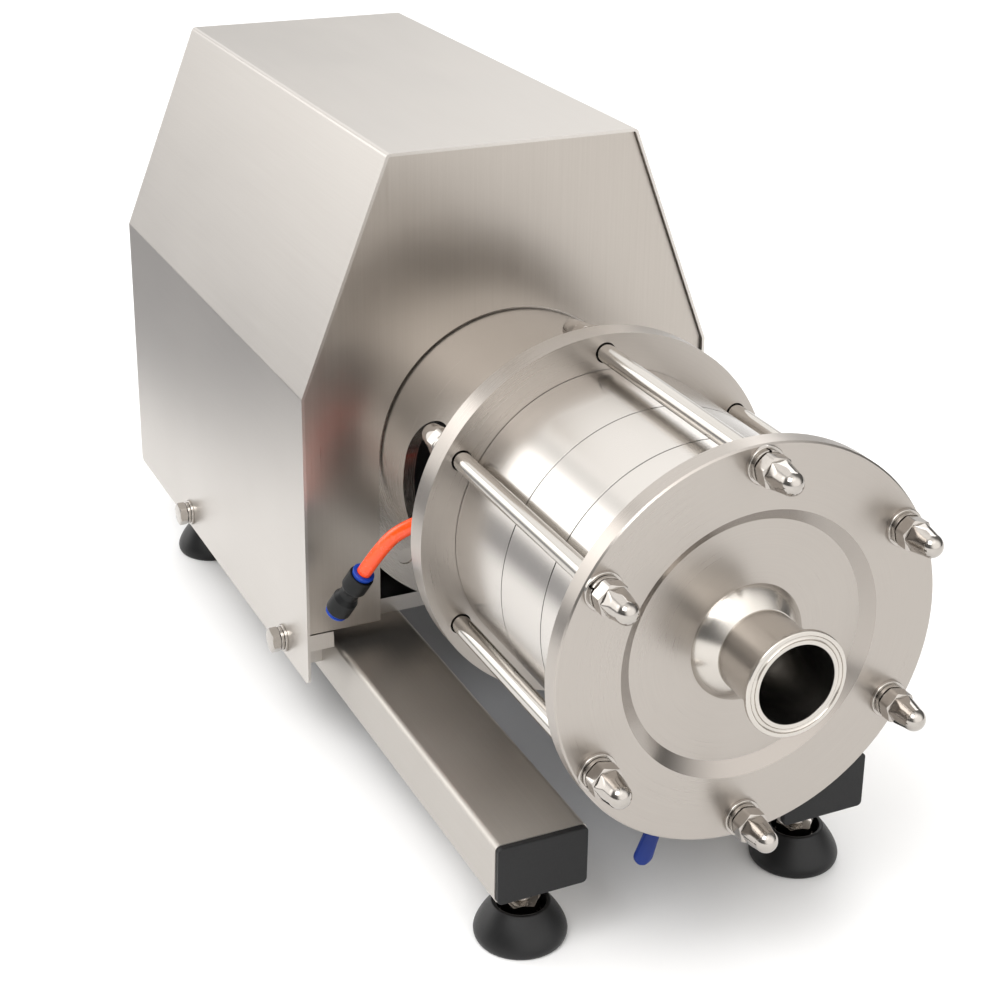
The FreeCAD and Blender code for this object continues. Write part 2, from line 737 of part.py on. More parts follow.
def front_flange():
    """Inlet cover: a disc with a shallow conical recess and a hole for the inlet."""
    hole = inlet_tube_radius + seat_gap
    disc = turned([(face_y + recess_depth, hole), (face_y + recess_depth, recess_inner),
                   (face_y, recess_outer), (face_y, disc_radius - 1), (face_y + 1, disc_radius),
                   (cover_back_y, disc_radius), (cover_back_y, hole)])
    return disc.cut(rod_holes(face_y, cover_back_y))


def rear_flange():
    """Back plate that closes the last stage and holds the seal's seat."""
    seat = seal_seat_radius + seat_gap
    bore = sleeve_radius + 2
    disc = turned([(back_front_y, seat), (back_front_y, disc_radius), (back_rear_y - 1, disc_radius),
                   (back_rear_y, disc_radius - 1), (back_rear_y, bore),
                   (back_front_y + seal_seat_width, bore), (back_front_y + seal_seat_width, seat)])
    thread = cylinder(lantern_screw_radius + seat_gap,
                      Vector(0, back_rear_y - back_thickness + 3, axis_z + lantern_screw_circle), ALONG,
                      back_thickness)
    cuts = around(thread, rod_count, 30) + [rod_holes(back_front_y, back_rear_y), oring_groove(back_front_y)]
    return disc.cut(Part.makeCompound(cuts))


def stage_housing(index):
    """One casing ring. The first two end in a partition with return vanes, the last has the outlet."""
    front = stage_y[index]
    rear = front + (last_stage_length if index == 2 else stage_length)
    casing = turned([(front, stage_bore), (front, stage_radius - stage_edge), (front + stage_edge, stage_radius),
                     (rear - stage_edge, stage_radius), (rear, stage_radius - stage_edge), (rear, stage_bore)])
    if index < 2:
        wall = ring(stage_bore + 1, eye_radius, rear - partition, rear)
        vane = box(-vane_width / 2, vane_width / 2, rear - partition - vane_height, rear - partition + 1,
                   axis_z + eye_radius + 6, axis_z + stage_bore - 6)
        vane.rotate(Vector(0, 0, axis_z + eye_radius + 6), ALONG, 35)
        casing = joined(casing, wall, *around(vane, vane_count))
    if index == 2:
        port = cylinder(outlet_tube_radius + seat_gap, Vector(0, (front + rear) / 2, axis_z), ACROSS, stage_radius)
        casing = casing.cut(port)
    if index == 0:
        casing = casing.cut(placed_on_drain(cylinder(valve_thread_radius + seat_gap, Vector(0, 0, 0),
                                                     Vector(0, 0, -1), stage_radius)))
    return casing.cut(oring_groove(front))


def toothed_ring(inner, y0, y1):
    """Ring cut into teeth by radial slots."""
    whole = ring(inner + ring_thickness, inner, y0, y1)
    slot = box(-tooth_slot / 2, tooth_slot / 2, y0, y1, axis_z, axis_z + inner + 2 * ring_thickness)
    return whole.cut(Part.makeCompound(around(slot, teeth)))


def ring_radius(order):
    """Inner radius of the toothed ring that is the given number of rings out."""
    return first_ring + order * (ring_thickness + ring_gap)


def stator_ring(index):
    """Fixed plate with two toothed rings that stand between the rotor's rings."""
    front = stage_y[index]
    root = front + stator_plate
    tip = root + rotor_clear + tooth_height - rotor_clear
    plate = ring(stage_bore - seat_gap, stator_hole, front, root)
    bores = ring(stage_bore - 2, ring_radius(3) + ring_thickness + 2, front, root)
    webs = [box(-6, 6, front, root, axis_z, axis_z + stage_bore)]
    windows = bores.cut(Part.makeCompound(around(webs[0], 6)))
    rings = [toothed_ring(ring_radius(order), root - 0.5, tip) for order in (1, 3)]
    return joined(plate if index == 0 else plate.cut(windows), *rings)


def rotor(index):
    """Disc on a long hub with two toothed rings and six short blades at its eye."""
    front = stage_y[index] + stator_plate + rotor_clear
    disc_front = front + tooth_height
    hub_end = front + (stage_length if index < 2 else tooth_height + rotor_disc + 6)
    outer = ring_radius(2) + ring_thickness
    disc = ring(outer, pump_shaft_radius + running_gap, disc_front, disc_front + rotor_disc)
    hub_front = front + (hub_setback if index == 0 else 0)
    hub = ring(hub_radius, pump_shaft_radius + running_gap, hub_front, hub_end)
    rings = [toothed_ring(ring_radius(order), front, disc_front + 0.5) for order in (0, 2)]
    blade = box(-blade_width / 2, blade_width / 2, front + 4, disc_front + 0.5,
                axis_z + hub_radius - 1, axis_z + first_ring + 1)
    return joined(disc, hub, *rings, *around(blade, blade_count, 10))


def rotor_stack_start():
    """Where the first rotor's hub meets the nut."""
    return stage_y[0] + stator_plate + rotor_clear + hub_setback


def rotor_stack_end():
    """Where the last rotor's hub meets the seal's sleeve."""
    return stage_y[2] + stator_plate + rotor_clear + tooth_height + rotor_disc + 6


def pump_shaft():
    """Stub shaft: a slim spindle for the rotors and a bored stub that clamps the motor shaft."""
    hub_front = rotor_stack_start()
    tip = hub_front - rotor_nut_length + 4
    thread = pump_shaft_radius - 4
    shoulder = back_rear_y + stub_start
    stub_end = motor_face_y - motor_spigot_depth - 6
    bore_end = motor_face_y - motor_shaft_reach - 2
    bore = motor_shaft_radius + running_gap
    return turned([(tip, 0), (tip, thread), (hub_front, thread),
                   (hub_front, pump_shaft_radius), (shoulder, pump_shaft_radius),
                   (shoulder, stub_radius), (stub_end, stub_radius), (stub_end, bore), (bore_end, bore),
                   (bore_end, 0)])


def rotor_nut():
    """Domed nut that clamps the rotor stack on the shaft."""
    rear = rotor_stack_start()
    front = rear - rotor_nut_length
    thread = pump_shaft_radius - 4 + running_gap
    flats = hexagon(2 * rotor_nut_radius - 6, Vector(0, rear - 9, axis_z), ALONG, 9)
    dome = turned([(front, 0), (front + 1, 7), (front + 3, 12), (front + 6, 15), (rear - 8, 16), (rear - 8, 0)])
    hole = axial(thread, front + 4 - running_gap, rear)
    return joined(flats, dome).cut(hole)


def clamp_collar():
    """Split collar round the stub, with its tangent screw."""
    rear = motor_face_y - motor_spigot_depth - 8
    front = rear - clamp_width
    collar = ring(clamp_radius, stub_radius + running_gap, front, rear)
    collar = collar.cut(box(-clamp_slit / 2, clamp_slit / 2, front, rear, axis_z, axis_z + clamp_radius))
    place = Vector(-16, (front + rear) / 2, axis_z + (clamp_radius + stub_radius) / 2)
    collar = collar.cut(cylinder(clamp_screw_radius + seat_gap, place, ACROSS, 32))
    screw = cylinder(clamp_screw_radius, place, ACROSS, 32)
    return collar, screw


def tie_rods():
    """Studs that clamp the stages between the front cover and the back plate."""
    start = Vector(0, face_y - rod_end, axis_z + rod_circle)
    rod = cylinder(rod_radius, start, ALONG, back_rear_y - face_y + 2 * rod_end)
    tips = [e for e in rod.Edges if e.Curve.TypeId == "Part::GeomCircle"]
    return around(rod.makeChamfer(1.2, tips), rod_count)


def tie_rod_stack():
    """Washers, nuts and cap nuts at one end of one rod, as (washers, nut, cap nut), looking to low Y."""
    z = axis_z + rod_circle
    bore = rod_radius + running_gap

    def slice_(radius, near, far):
        return cylinder(radius, Vector(0, -far, z), ALONG, far - near)

    flat = slice_(washer_radius, 0, washer_thickness).cut(slice_(rod_hole_radius, 0, washer_thickness))
    top = washer_thickness + spring_washer_thickness
    split = box(-0.8, 0.8, -top, -washer_thickness, z, z + spring_washer_radius + 1)
    spring = slice_(spring_washer_radius, washer_thickness, top).cut(slice_(rod_hole_radius, washer_thickness, top))
    spring = spring.cut(split)
    nut_top = top + nut_height
    nut = hexagon(nut_across, Vector(0, -nut_top, z), ALONG, nut_height, 15).cut(slice_(bore, top, nut_top))
    barrel = cap_nut_height - 0.42 * cap_nut_across
    cap = hexagon(cap_nut_across, Vector(0, -nut_top - barrel, z), ALONG, barrel)
    cone = Part.makeCone(0.56 * cap_nut_across, 0.44 * cap_nut_across, barrel, Vector(0, -nut_top, z), Vector(0, -1, 0))
    ball = Part.makeSphere(0.44 * cap_nut_across, Vector(0, -nut_top - barrel, z))
    hollow = slice_(bore, nut_top, rod_end + 0.6)
    return [flat, spring], nut, joined(cap.common(cone), ball).cut(hollow)


def tie_rod_fasteners():
    """Every washer, nut and cap nut of the tie rods, front and rear."""
    washers, nut, cap = tie_rod_stack()
    found = []
    for pieces in (washers, [nut], [cap]):
        group = []
        for piece in pieces:
            front = piece.copy()
            front.translate(Vector(0, face_y, 0))
            rear = piece.mirror(Vector(0, 0, 0), ALONG)
            rear.translate(Vector(0, back_rear_y, 0))
            group += around(front, rod_count) + around(rear, rod_count)
        found.append(group)
    return found


def casing_o_rings():
    """O-rings between the cover, the three stages and the back plate."""
    return [Part.makeTorus(oring_circle, oring_thickness / 2, Vector(0, y + groove_depth / 2, axis_z), ALONG)
            for y in stage_y + [back_front_y]]


def ferrule(tube_radius_, bore_radius, lip_radius, boss_radius, boss_length, start, end, root):
    """Clamp port along Y from start to its face at end (end is lower), with a conical weld boss at root."""
    back = end + ferrule_lip
    taper = (lip_radius - tube_radius_) * ferrule_slope
    mean = (bore_radius + lip_radius) / 2
    half = gasket_groove / 2
    port = turned([(start, bore_radius), (start, tube_radius_), (root, tube_radius_), (root, boss_radius),
                   (root - 1, boss_radius), (root - boss_length, tube_radius_), (back + taper, tube_radius_),
                   (back, lip_radius), (end + 0.5, lip_radius), (end, lip_radius - 0.5),
                   (end, mean + half), (end + gasket_groove_depth, mean + half * 0.5),
                   (end + gasket_groove_depth, mean - half * 0.5), (end, mean - half), (end, bore_radius)])
    return port


def inlet_port():
    """Inlet ferrule, welded through the front cover."""
    return ferrule(inlet_tube_radius, inlet_bore_radius, inlet_ferrule_radius, inlet_boss_radius,
                   inlet_boss_length, cover_back_y, face_y - inlet_reach, face_y + recess_depth)


def outlet_port():
    """Outlet ferrule on the right side of the last stage, square to the pump's axis."""
    middle = (stage_y[2] + back_front_y) / 2
    shape = ferrule(outlet_tube_radius, outlet_bore_radius, outlet_ferrule_radius, outlet_boss_radius,
                    outlet_boss_length, -stage_bore - 4, -outlet_half_reach, -stage_radius + 6)
    shape.rotate(Vector(0, 0, axis_z), UP, 90)
    shape.translate(Vector(0, middle, 0))
    return shape.cut(ring(stage_radius, 1, stage_y[2], back_front_y).fuse(
        axial(stage_bore, stage_y[2], back_front_y))).fuse(
        shape.common(cylinder(outlet_tube_radius, Vector(stage_bore + 4, middle, axis_z), ACROSS,
                              stage_radius - stage_bore))).removeSplitter()


# Mechanical seal and flush line


def seal_gland():
    """Housing behind the back plate with a flush port on each side."""
    front = back_rear_y
    rear = front + gland_depth
    body = turned([(front, sleeve_radius + 8), (front, gland_outer_radius), (rear, gland_outer_radius),
                   (rear, sleeve_radius + 1.5), (rear - 6, sleeve_radius + 1.5), (rear - 6, sleeve_radius + 8)])
    port = cylinder(5, Vector(-gland_outer_radius - 1, front + port_offset, axis_z), ACROSS,
                    2 * gland_outer_radius + 2)
    inside = axial(sleeve_radius + 8, front, rear)
    return body.cut(port.cut(inside))


def seal_stationary():
    """Hard seat ring in the back plate."""
    return ring(seal_seat_radius, sleeve_radius + 2, back_front_y, back_front_y + seal_seat_width)


def seal_rotating():
    """Sleeve on the shaft with the sliding ring and its spring."""
    front = rotor_stack_end()
    shoulder = back_rear_y + stub_start
    sleeve = ring(sleeve_radius, pump_shaft_radius + running_gap, front, shoulder)
    face = back_front_y - 0.05
    slider = ring(seal_ring_radius, sleeve_radius + running_gap, face - seal_ring_width, face)
    room = face - seal_ring_width - front
    coils = []
    for i in range(spring_turns):
        y = front + spring_wire + i * (room - 2 * spring_wire) / (spring_turns - 1)
        coils.append(Part.makeTorus(sleeve_radius + spring_wire + 0.6, spring_wire, Vector(0, y, axis_z), ALONG))
    return [sleeve, slider] + coils


def flush_fitting():
    """Push-in fitting in the gland's left port and a blank plug in its right port."""
    y = back_rear_y + port_offset
    face = -gland_outer_radius
    thread = cylinder(5 - seat_gap, Vector(face + 8, y, axis_z), -ACROSS, 8)
    flats = hexagon(fitting_across, Vector(face, y, axis_z), -ACROSS, fitting_hex)
    body = cylinder(fitting_radius, Vector(face - fitting_hex, y, axis_z), -ACROSS, fitting_body)
    collet = cylinder(collet_radius, Vector(face - fitting_hex - fitting_body, y, axis_z), -ACROSS, collet_width)
    socket = cylinder(tube_radius, Vector(fitting_end() + collet_width + 6, y, axis_z), -ACROSS, 20)
    inner = cylinder(tube_bore_radius, Vector(face + 8, y, axis_z), -ACROSS, 40)
    fitting = joined(thread, flats, body, collet).cut(socket).cut(inner)
    plug_thread = cylinder(5 - seat_gap, Vector(-face - 8, y, axis_z), ACROSS, 8)
    plug_head = hexagon(14, Vector(-face, y, axis_z), ACROSS, 6)
    return fitting, joined(plug_thread, plug_head)


def fitting_end():
    """X of the flush fitting's mouth, where the tube comes out."""
    return -gland_outer_radius - fitting_hex - fitting_body - collet_width


# The flush tube's route from the fitting's mouth to the union, chosen by hand
flush_route = [
    (-61.0, -120.0, 220.0),
    (-78.0, -120.0, 220.0),
    (-95.0, -115.5, 217.0),
    (-110.0, -107.0, 209.5),
    (-121.0, -97.5, 197.0),
    (-130.5, -84.5, 171.5),
]


def route_path(points):
    """Straight runs joined by tangent arcs, as large as the runs allow, and the arcs' radii."""
    corners = [Vector(*p) for p in points]
    edges = []
    radii = []
    at = corners[0]
    for before, corner, after in zip(corners, corners[1:], corners[2:]):
        run_in = corner - before
        run_out = after - corner
        reach = 0.45 * min(run_in.Length, run_out.Length)
        turn = run_in.getAngle(run_out)
        radius = reach / math.tan(turn / 2)
        radii.append(radius)
        start = corner - run_in.normalize() * reach
        end = corner + run_out.normalize() * reach
        towards = (end - start).normalize()
        sag = radius * (1 - math.cos(turn / 2))
        inward = ((start + end) * 0.5 - corner).normalize()
        middle = (start + end) * 0.5 - inward * sag
        if (start - at).Length > 1e-6:
            edges.append(Part.LineSegment(at, start).toShape())
        if towards.Length > 0:
            edges.append(Part.Arc(start, middle, end).toShape())
        at = end
    edges.append(Part.LineSegment(at, corners[-1]).toShape())
    return Part.Wire(edges), radii


def flush_tube():
    """Hose of the seal's flush, swept along its route."""
    path, radii = route_path(flush_route)
    start = Vector(*flush_route[0])
    heading = Vector(*flush_route[1]) - start
    profile = Part.Wire(Part.Circle(start, heading, tube_radius).toShape())
    tube = path.makePipeShell([profile], True, True)
    print("flush tube: length", round(path.Length, 1), "radii", [round(r, 1) for r in radii],
          "volume share", round(tube.Volume / (math.pi * tube_radius ** 2 * path.Length), 4))
    return tube


def flush_union():
    """Straight push-in union on the tube's free end, open at the bottom."""
    end = Vector(*flush_route[-1])
    heading = (end - Vector(*flush_route[-2])).normalize()
    barrel = union_barrel
    waist = union_length - 2 * barrel
    profile = [(0, 0), (collet_radius, 0), (collet_radius, collet_width), (union_radius, collet_width),
               (union_radius, barrel), (union_waist_radius, barrel + waist * 0.3),
               (union_waist_radius, barrel + waist * 0.7), (union_radius, barrel + waist),
               (union_radius, union_length - collet_width), (collet_radius, union_length - collet_width),
               (collet_radius, union_length), (0, union_length)]
    points = [Vector(r, 0, z) for r, z in profile]
    body = Part.Face(Part.makePolygon(points + points[:1])).revolve(Vector(0, 0, 0), UP, 360)
    socket_length = (union_length - union_stop) / 2
    socket = cylinder(tube_radius, Vector(0, 0, union_length - socket_length), UP, socket_length)
    passage = cylinder(tube_bore_radius, Vector(0, 0, 0), UP, union_length)
    body = body.cut(socket).cut(passage)
    body.Placement = FreeCAD.Placement(end, FreeCAD.Rotation(UP, heading))
    return body


# Drain valve


def placed_on_drain(shape):
    """Moves a shape from the valve's own place, hanging down from the axis, to the first stage."""
    shape.translate(Vector(0, stage_y[0] + stage_length / 2, axis_z))
    shape.rotate(Vector(0, 0, axis_z), ALONG, drain_angle)
    return shape


def drain_valve_body():
    """Small ball valve: threaded stem, hexagonal body, bonnet and outlet end."""
    down = Vector(0, 0, -1)
    middle = valve_radius_at_axis
    thread = cylinder(valve_thread_radius, Vector(0, 0, -stage_bore - 1), down,
                      middle - valve_hex_length / 2 - stage_bore - 1)
    body = hexagon(valve_across, Vector(0, 0, -middle + valve_hex_length / 2), down, valve_hex_length, 30)
    end = cylinder(valve_end_radius, Vector(0, 0, -middle - valve_hex_length / 2), down, valve_end_length)
    bonnet = cylinder(5.5, Vector(0, 0, -middle), -ALONG, valve_across / 2 + 2)
    whole = joined(thread, body, end, bonnet)
    whole = whole.cut(cylinder(valve_bore_radius, Vector(0, 0, -stage_bore), down, stage_radius))
    whole = whole.cut(Part.makeSphere(valve_ball_radius + running_gap, Vector(0, 0, -middle)))
    return placed_on_drain(whole.cut(cylinder(spindle_radius + running_gap, Vector(0, 0, -middle), -ALONG, 20)))


def drain_lever():
    """Quarter-turn lever with its spindle and the ball that it turns."""
    down = Vector(0, 0, -1)
    pivot = Vector(0, 0, -valve_radius_at_axis)
    ball = Part.makeSphere(valve_ball_radius, pivot)
    ball = ball.cut(cylinder(valve_bore_radius, Vector(0, 0, -stage_radius), down, 2 * valve_ball_radius + 14))
    back = -lever_offset + lever_thickness / 2
    front = -lever_offset - lever_thickness / 2
    spindle = cylinder(spindle_radius, Vector(0, -valve_ball_radius + 1, pivot.z), -ALONG,
                       lever_offset + 4 - valve_ball_radius)
    nut = hexagon(8, Vector(0, front - 3.5, pivot.z), ALONG, 3.5)
    eye = cylinder(lever_width / 2 + 1.5, Vector(0, front, pivot.z), ALONG, lever_thickness)
    neck = box(-lever_width / 2, lever_width / 2, front, back, pivot.z - lever_length + lever_tip_radius, pivot.z)
    tip = cylinder(lever_tip_radius, Vector(0, front, pivot.z - lever_length + lever_tip_radius), ALONG,
                   lever_thickness)
    lever = joined(eye, neck, tip, nut, spindle)
    return placed_on_drain(joined(ball, lever))


# Hood


def hood_outline(inset, bottom):
    """Corners of the hood's section, moved in by the given amount, down to the given height."""
    rise = hood_height - hood_bend_height
    lean = hood_half_width - hood_top_half_width
    slope = math.hypot(rise, lean)
    top_half = hood_top_half_width - inset * (slope - lean) / rise
    side_half = hood_half_width - inset
    bend = hood_bend_height - inset * (slope - rise) / lean
    top = hood_height - inset
    return [(-side_half, bottom), (-side_half, bend), (-top_half, top),
            (top_half, top), (side_half, bend), (side_half, bottom)]


def hood_prism(inset, bottom, y0, y1, bend_radius):
    """Solid with the hood's section and rounded bends."""
    corners = [Vector(x, y0, z) for x, z in hood_outline(inset, bottom)]
    block = Part.Face(Part.makePolygon(corners + corners[:1])).extrude(Vector(0, y1 - y0, 0))
    bends = [e for e in block.Edges
             if abs(e.tangentAt(e.FirstParameter).y) > 0.9 and e.CenterOfMass.z > bottom + 1]
    return block.makeFillet(bend_radius, bends)


def hood_shell():
    """Folded sheet that covers the motor on both sides and the top."""
    outer = hood_prism(0, hood_bottom, hood_front_y, hood_rear_y, hood_bend_radius)
    lower = [e for e in outer.Edges
             if abs(e.tangentAt(e.FirstParameter).x) > 0.9 and e.CenterOfMass.z < hood_bottom + 1]
    outer = outer.makeFillet(hood_corner_radius, lower)
    inner = hood_prism(hood_sheet, hood_bottom - 2 * hood_corner_radius, hood_front_y - 1, hood_rear_y + 1,
                       hood_bend_radius - hood_sheet)
    shell = outer.cut(inner)
    for i in range(2):
        place = Vector(-hood_half_width, hood_front_y + hood_bolt_first + hood_bolt_pitch * i, hood_bolt_height)
        shell = shell.cut(cylinder(hood_bolt_radius + 3 * seat_gap, place, ACROSS, 2 * hood_half_width))
    return shell


def hood_panel(y0):
    """Blank end panel that fits inside the folded sheet."""
    return hood_prism(hood_sheet + sheet_gap, panel_bottom, y0, y0 + hood_sheet, hood_bend_radius - hood_sheet)


def hood_front_panel():
    """Front panel with a cut-out that lets the hood drop over the lantern."""
    y0 = hood_front_y + panel_inset
    radius = lantern_radius + cutout_gap
    hole = axial(radius, y0 - 1, y0 + hood_sheet + 1)
    slot = box(-radius, radius, y0 - 1, y0 + hood_sheet + 1, 0, axis_z)
    return hood_panel(y0).cut(joined(hole, slot))


def hood_rear_panel():
    """Rear panel with rows of air slots behind the fan."""
    y0 = hood_rear_y - panel_inset - hood_sheet
    panel = hood_panel(y0)
    slots = []
    for i in range(vent_rows):
        rise = (i - (vent_rows - 1) / 2) * vent_pitch
        reach = math.sqrt(vent_reach ** 2 - rise ** 2)
        for side in (-1, 1):
            near, far = sorted((side * vent_web / 2, side * reach))
            slots.append(box(near, far, y0 - 1, y0 + hood_sheet + 1,
                             axis_z + rise - vent_height / 2, axis_z + rise + vent_height / 2))
    return panel.cut(Part.makeCompound(slots))


def hood_bolts():
    """Hexagon bolts with a spring washer and a flat washer, two on each side of the hood."""
    pieces = []
    for i in range(2):
        y = hood_front_y + hood_bolt_first + hood_bolt_pitch * i
        outside = hood_half_width
        flat = cylinder(hood_washer_radius, Vector(outside, y, hood_bolt_height), ACROSS, 2)
        spring = cylinder(8.4, Vector(outside + 2, y, hood_bolt_height), ACROSS, 2.4)
        hole = cylinder(hood_bolt_radius + seat_gap, Vector(outside, y, hood_bolt_height), ACROSS, 5)
        head = hexagon(hood_bolt_across, Vector(outside + 4.4, y, hood_bolt_height), ACROSS, hood_bolt_head)
        shank = cylinder(hood_bolt_radius, Vector(rail_outer_x + 1, y, hood_bolt_height), ACROSS,
                         outside + 5 - rail_outer_x)
        pieces += [flat.cut(hole), spring.cut(hole), joined(head, shank)]
    return pieces + [mirrored(p) for p in pieces]


def build_frame():
    """Rails, end caps, base plate and levelling feet."""
    right = rail()
    export("rail_right", right)
    export("rail_left", mirrored(right))
    caps = [end_cap(rail_front_y, -1), end_cap(rail_rear_y, 1)]
    export("rail_end_caps", *caps, *[mirrored(c) for c in caps])
    export("base_plate", base_plate())
    nuts = []
    for end, reach, y in zip(("front", "rear"), foot_xs, foot_ys):
        for side, x in (("left", -reach), ("right", reach)):
            place = Vector(x, y, 0)
            for name, shape in (("foot_pad", foot_pad()), ("foot_stud", foot_stud())):
                shape.translate(place)
                export(name + "_" + end + "_" + side, shape)
            nut = foot_lock_nut()
            nut.translate(place)
            nuts.append(nut)
    export("foot_lock_nuts", *nuts)


def build_motor():
    """Motor with its feet, bearings, fan and terminal box."""
    export("motor_housing", motor_housing())
    export("motor_front_shield", motor_front_shield())
    export("motor_rear_shield", motor_rear_shield())
    outer, inner = bearings()
    export("bearing_outer_races", *outer)
    export("bearing_inner_races", *inner)
    export("motor_rotor", motor_rotor())
    export("motor_stator", *motor_stator())
    export("fan", fan())
    export("fan_cowl", fan_cowl())
    export("terminal_box", *terminal_box())
    export("terminal_box_lid", terminal_box_lid())
    export("motor_foot_bolts", *motor_foot_bolts())


def build_pump():
    """Pump head from the inlet to the lantern."""
    export("front_flange", front_flange())
    export("inlet_port", inlet_port())
    for i in range(3):
        export("stage_housing_%d" % (i + 1), stage_housing(i))
        export("stator_ring_%d" % (i + 1), stator_ring(i))
        export("rotor_%d" % (i + 1), rotor(i))
    export("outlet_port", outlet_port())
    export("rear_flange", rear_flange())
    export("pump_shaft", pump_shaft())
    export("rotor_nut", rotor_nut())
    export("clamp_collar", *clamp_collar())
    export("tie_rods", *tie_rods())
    washers, nuts, caps = tie_rod_fasteners()
    export("tie_rod_washers", *washers)
    export("tie_rod_nuts", *nuts)
    export("tie_rod_cap_nuts", *caps)
    export("casing_o_rings", *casing_o_rings())
    export("lantern", lantern())
    export("lantern_bolts", *lantern_bolts())
    export("seal_gland", seal_gland())
    export("seal_stationary", seal_stationary())
    export("seal_rotating", *seal_rotating())
    export("flush_fitting", *flush_fitting())
    export("flush_tube", flush_tube())
    export("flush_union", flush_union())
    export("drain_valve_body", drain_valve_body())
    export("drain_lever", drain_lever())


def build_hood():
    """Folded hood with its end panels and bolts."""
    export("hood_shell", hood_shell())
    export("hood_front_panel", hood_front_panel())
    export("hood_rear_panel", hood_rear_panel())
    export("hood_bolts", *hood_bolts())


os.makedirs("parts", exist_ok=True)
build_frame()
build_motor()
build_pump()
build_hood()
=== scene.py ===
"""Looks of the three-stage emulsifying pump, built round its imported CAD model.

Lengths in the arrays are millimetres in the model's own frame: X across, Y from the
inlet to the back of the hood, Z up. A mesh gets metres when it is made.
"""
import math

import bpy
import numpy as np
from mathutils import Matrix, Vector


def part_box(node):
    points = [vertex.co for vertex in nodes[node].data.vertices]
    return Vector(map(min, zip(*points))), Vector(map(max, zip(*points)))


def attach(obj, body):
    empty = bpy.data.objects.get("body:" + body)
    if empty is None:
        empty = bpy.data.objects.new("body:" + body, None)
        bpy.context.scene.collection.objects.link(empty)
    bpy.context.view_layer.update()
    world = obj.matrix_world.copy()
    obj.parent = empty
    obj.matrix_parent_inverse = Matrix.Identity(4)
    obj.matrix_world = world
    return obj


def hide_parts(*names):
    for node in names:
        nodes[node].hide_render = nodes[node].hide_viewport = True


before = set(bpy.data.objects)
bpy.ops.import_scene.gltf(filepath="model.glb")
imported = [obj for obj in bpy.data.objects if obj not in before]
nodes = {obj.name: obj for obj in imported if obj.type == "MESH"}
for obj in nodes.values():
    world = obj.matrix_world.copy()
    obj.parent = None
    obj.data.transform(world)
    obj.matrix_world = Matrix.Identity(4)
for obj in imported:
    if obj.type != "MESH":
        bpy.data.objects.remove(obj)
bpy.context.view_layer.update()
mm = 0.001
pole = 1e-3                 # radius at which a turned surface closes

# Places and sizes, in millimetres, read from the frame or repeated from the CAD source


def low_high(node):
    """Lowest and highest corner of a CAD node."""
    low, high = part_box(node)
    return np.array(low) / mm, np.array(high) / mm


cover_low, cover_high = low_high("front_flange")
back_low, back_high = low_high("rear_flange")
hood_front_y = low_high("hood_shell")[0][1]
stage_fronts = [low_high("stage_housing_" + number)[0][1] for number in "123"]
axis_z = (cover_low[2] + cover_high[2]) / 2
joints_y = [cover_high[1], stage_fronts[1], stage_fronts[2], back_low[1]]
face_y = cover_low[1]
back_rear_y = back_high[1]

rod_circle = 111.0
rod_count = 6
washer_bore, washer_radius, washer_thickness = 6.8, 11.6, 2.5
spring_bore, spring_radius, spring_thickness = 6.7, 10.0, 2.4
spring_space = 3.0          # between the flat washer and the nut
nut_across, nut_height, nut_bore = 18.0, 9.0, 6.1
cap_nut_across, cap_nut_height = 16.0, 19.0

recess_floor = -6.0         # below the cover's front face
port_tube, port_bore, port_lip, port_neck, port_reach = 25.5, 23.9, 32.0, 36.0, 46.0
lip_thickness = 2.9
lip_slope = math.radians(20)
neck_length = 12.0
weld_step = 0.4             # where the neck meets the tube

hood_side_x = 151.0
hood_bolt_z = 75.0
hood_bolt_rows = (50.0, 275.0)      # behind the hood's front edge
hood_bolt_across, hood_bolt_head, hood_head_start = 16.0, 6.4, 4.4
hood_bolt_radius, hood_bolt_depth = 5.0, 20.5
hood_washer_radius, hood_washer_top = 10.0, 2.0
hood_spring_radius, hood_spring_top = 8.3, 4.3

foot_places = ("front_left", "front_right", "rear_left", "rear_right")
cup_floor = 14.0
flange_radius, flange_height = 13.8, 3.0
stud_across, stud_height, stud_radius = 22.0, 10.0, 6.0
thread_low, thread_high = 5.1, 76.9
lock_nut_z, lock_nut_across, lock_nut_height = 40.5, 19.0, 6.5

drain_angle = math.radians(20)
drain_pivot = 114.0         # lever's pivot from the pump's axis
drain_valve_offset = 52.5 / 2       # behind the front of the first casing ring
drain_lever_offset = 15.0           # lever's middle in front of the valve's axis
spindle_radius, spindle_length = 2.95, 13.0
spindle_nut_start, spindle_nut_across, spindle_nut_height = 2.0, 8.0, 3.2
flush_route = np.array([
    (-61.0, -120.0, 220.0),
    (-78.0, -120.0, 220.0),
    (-95.0, -115.5, 217.0),
    (-110.0, -107.0, 209.5),
    (-121.0, -97.5, 197.0),
    (-130.5, -84.5, 171.5),
])
flush_radius = 5.0

seam_shade_half_width = 0.45      # painted-shade line where two casing rings meet
shaded_bore_rim = 24.2             # from here inwards the inlet's colour is darkened as painted shade
finer_shaded_band = (75, 83)       # slope round the cover's recess: cut finer, and darker as painted shade


# Surfaces


def grid(points, wrap=True):
    """Quads over a grid of points: rows follow a profile, columns go round or across it."""
    rows, columns = points.shape[:2]
    across = np.arange(columns if wrap else columns - 1)
    a = np.arange(rows - 1)[:, None] * columns + across
    b = np.arange(rows - 1)[:, None] * columns + (across + 1) % columns
    quads = np.stack([a, b, b + columns, a + columns], -1).reshape(-1, 4)
    return points.reshape(-1, 3), quads


def angles(count, first=0.0, last=360.0, closed=True):
    """Evenly spaced angles in radians, without the last one where the ring is closed."""
    return np.radians(np.linspace(first, last, count, endpoint=not closed))


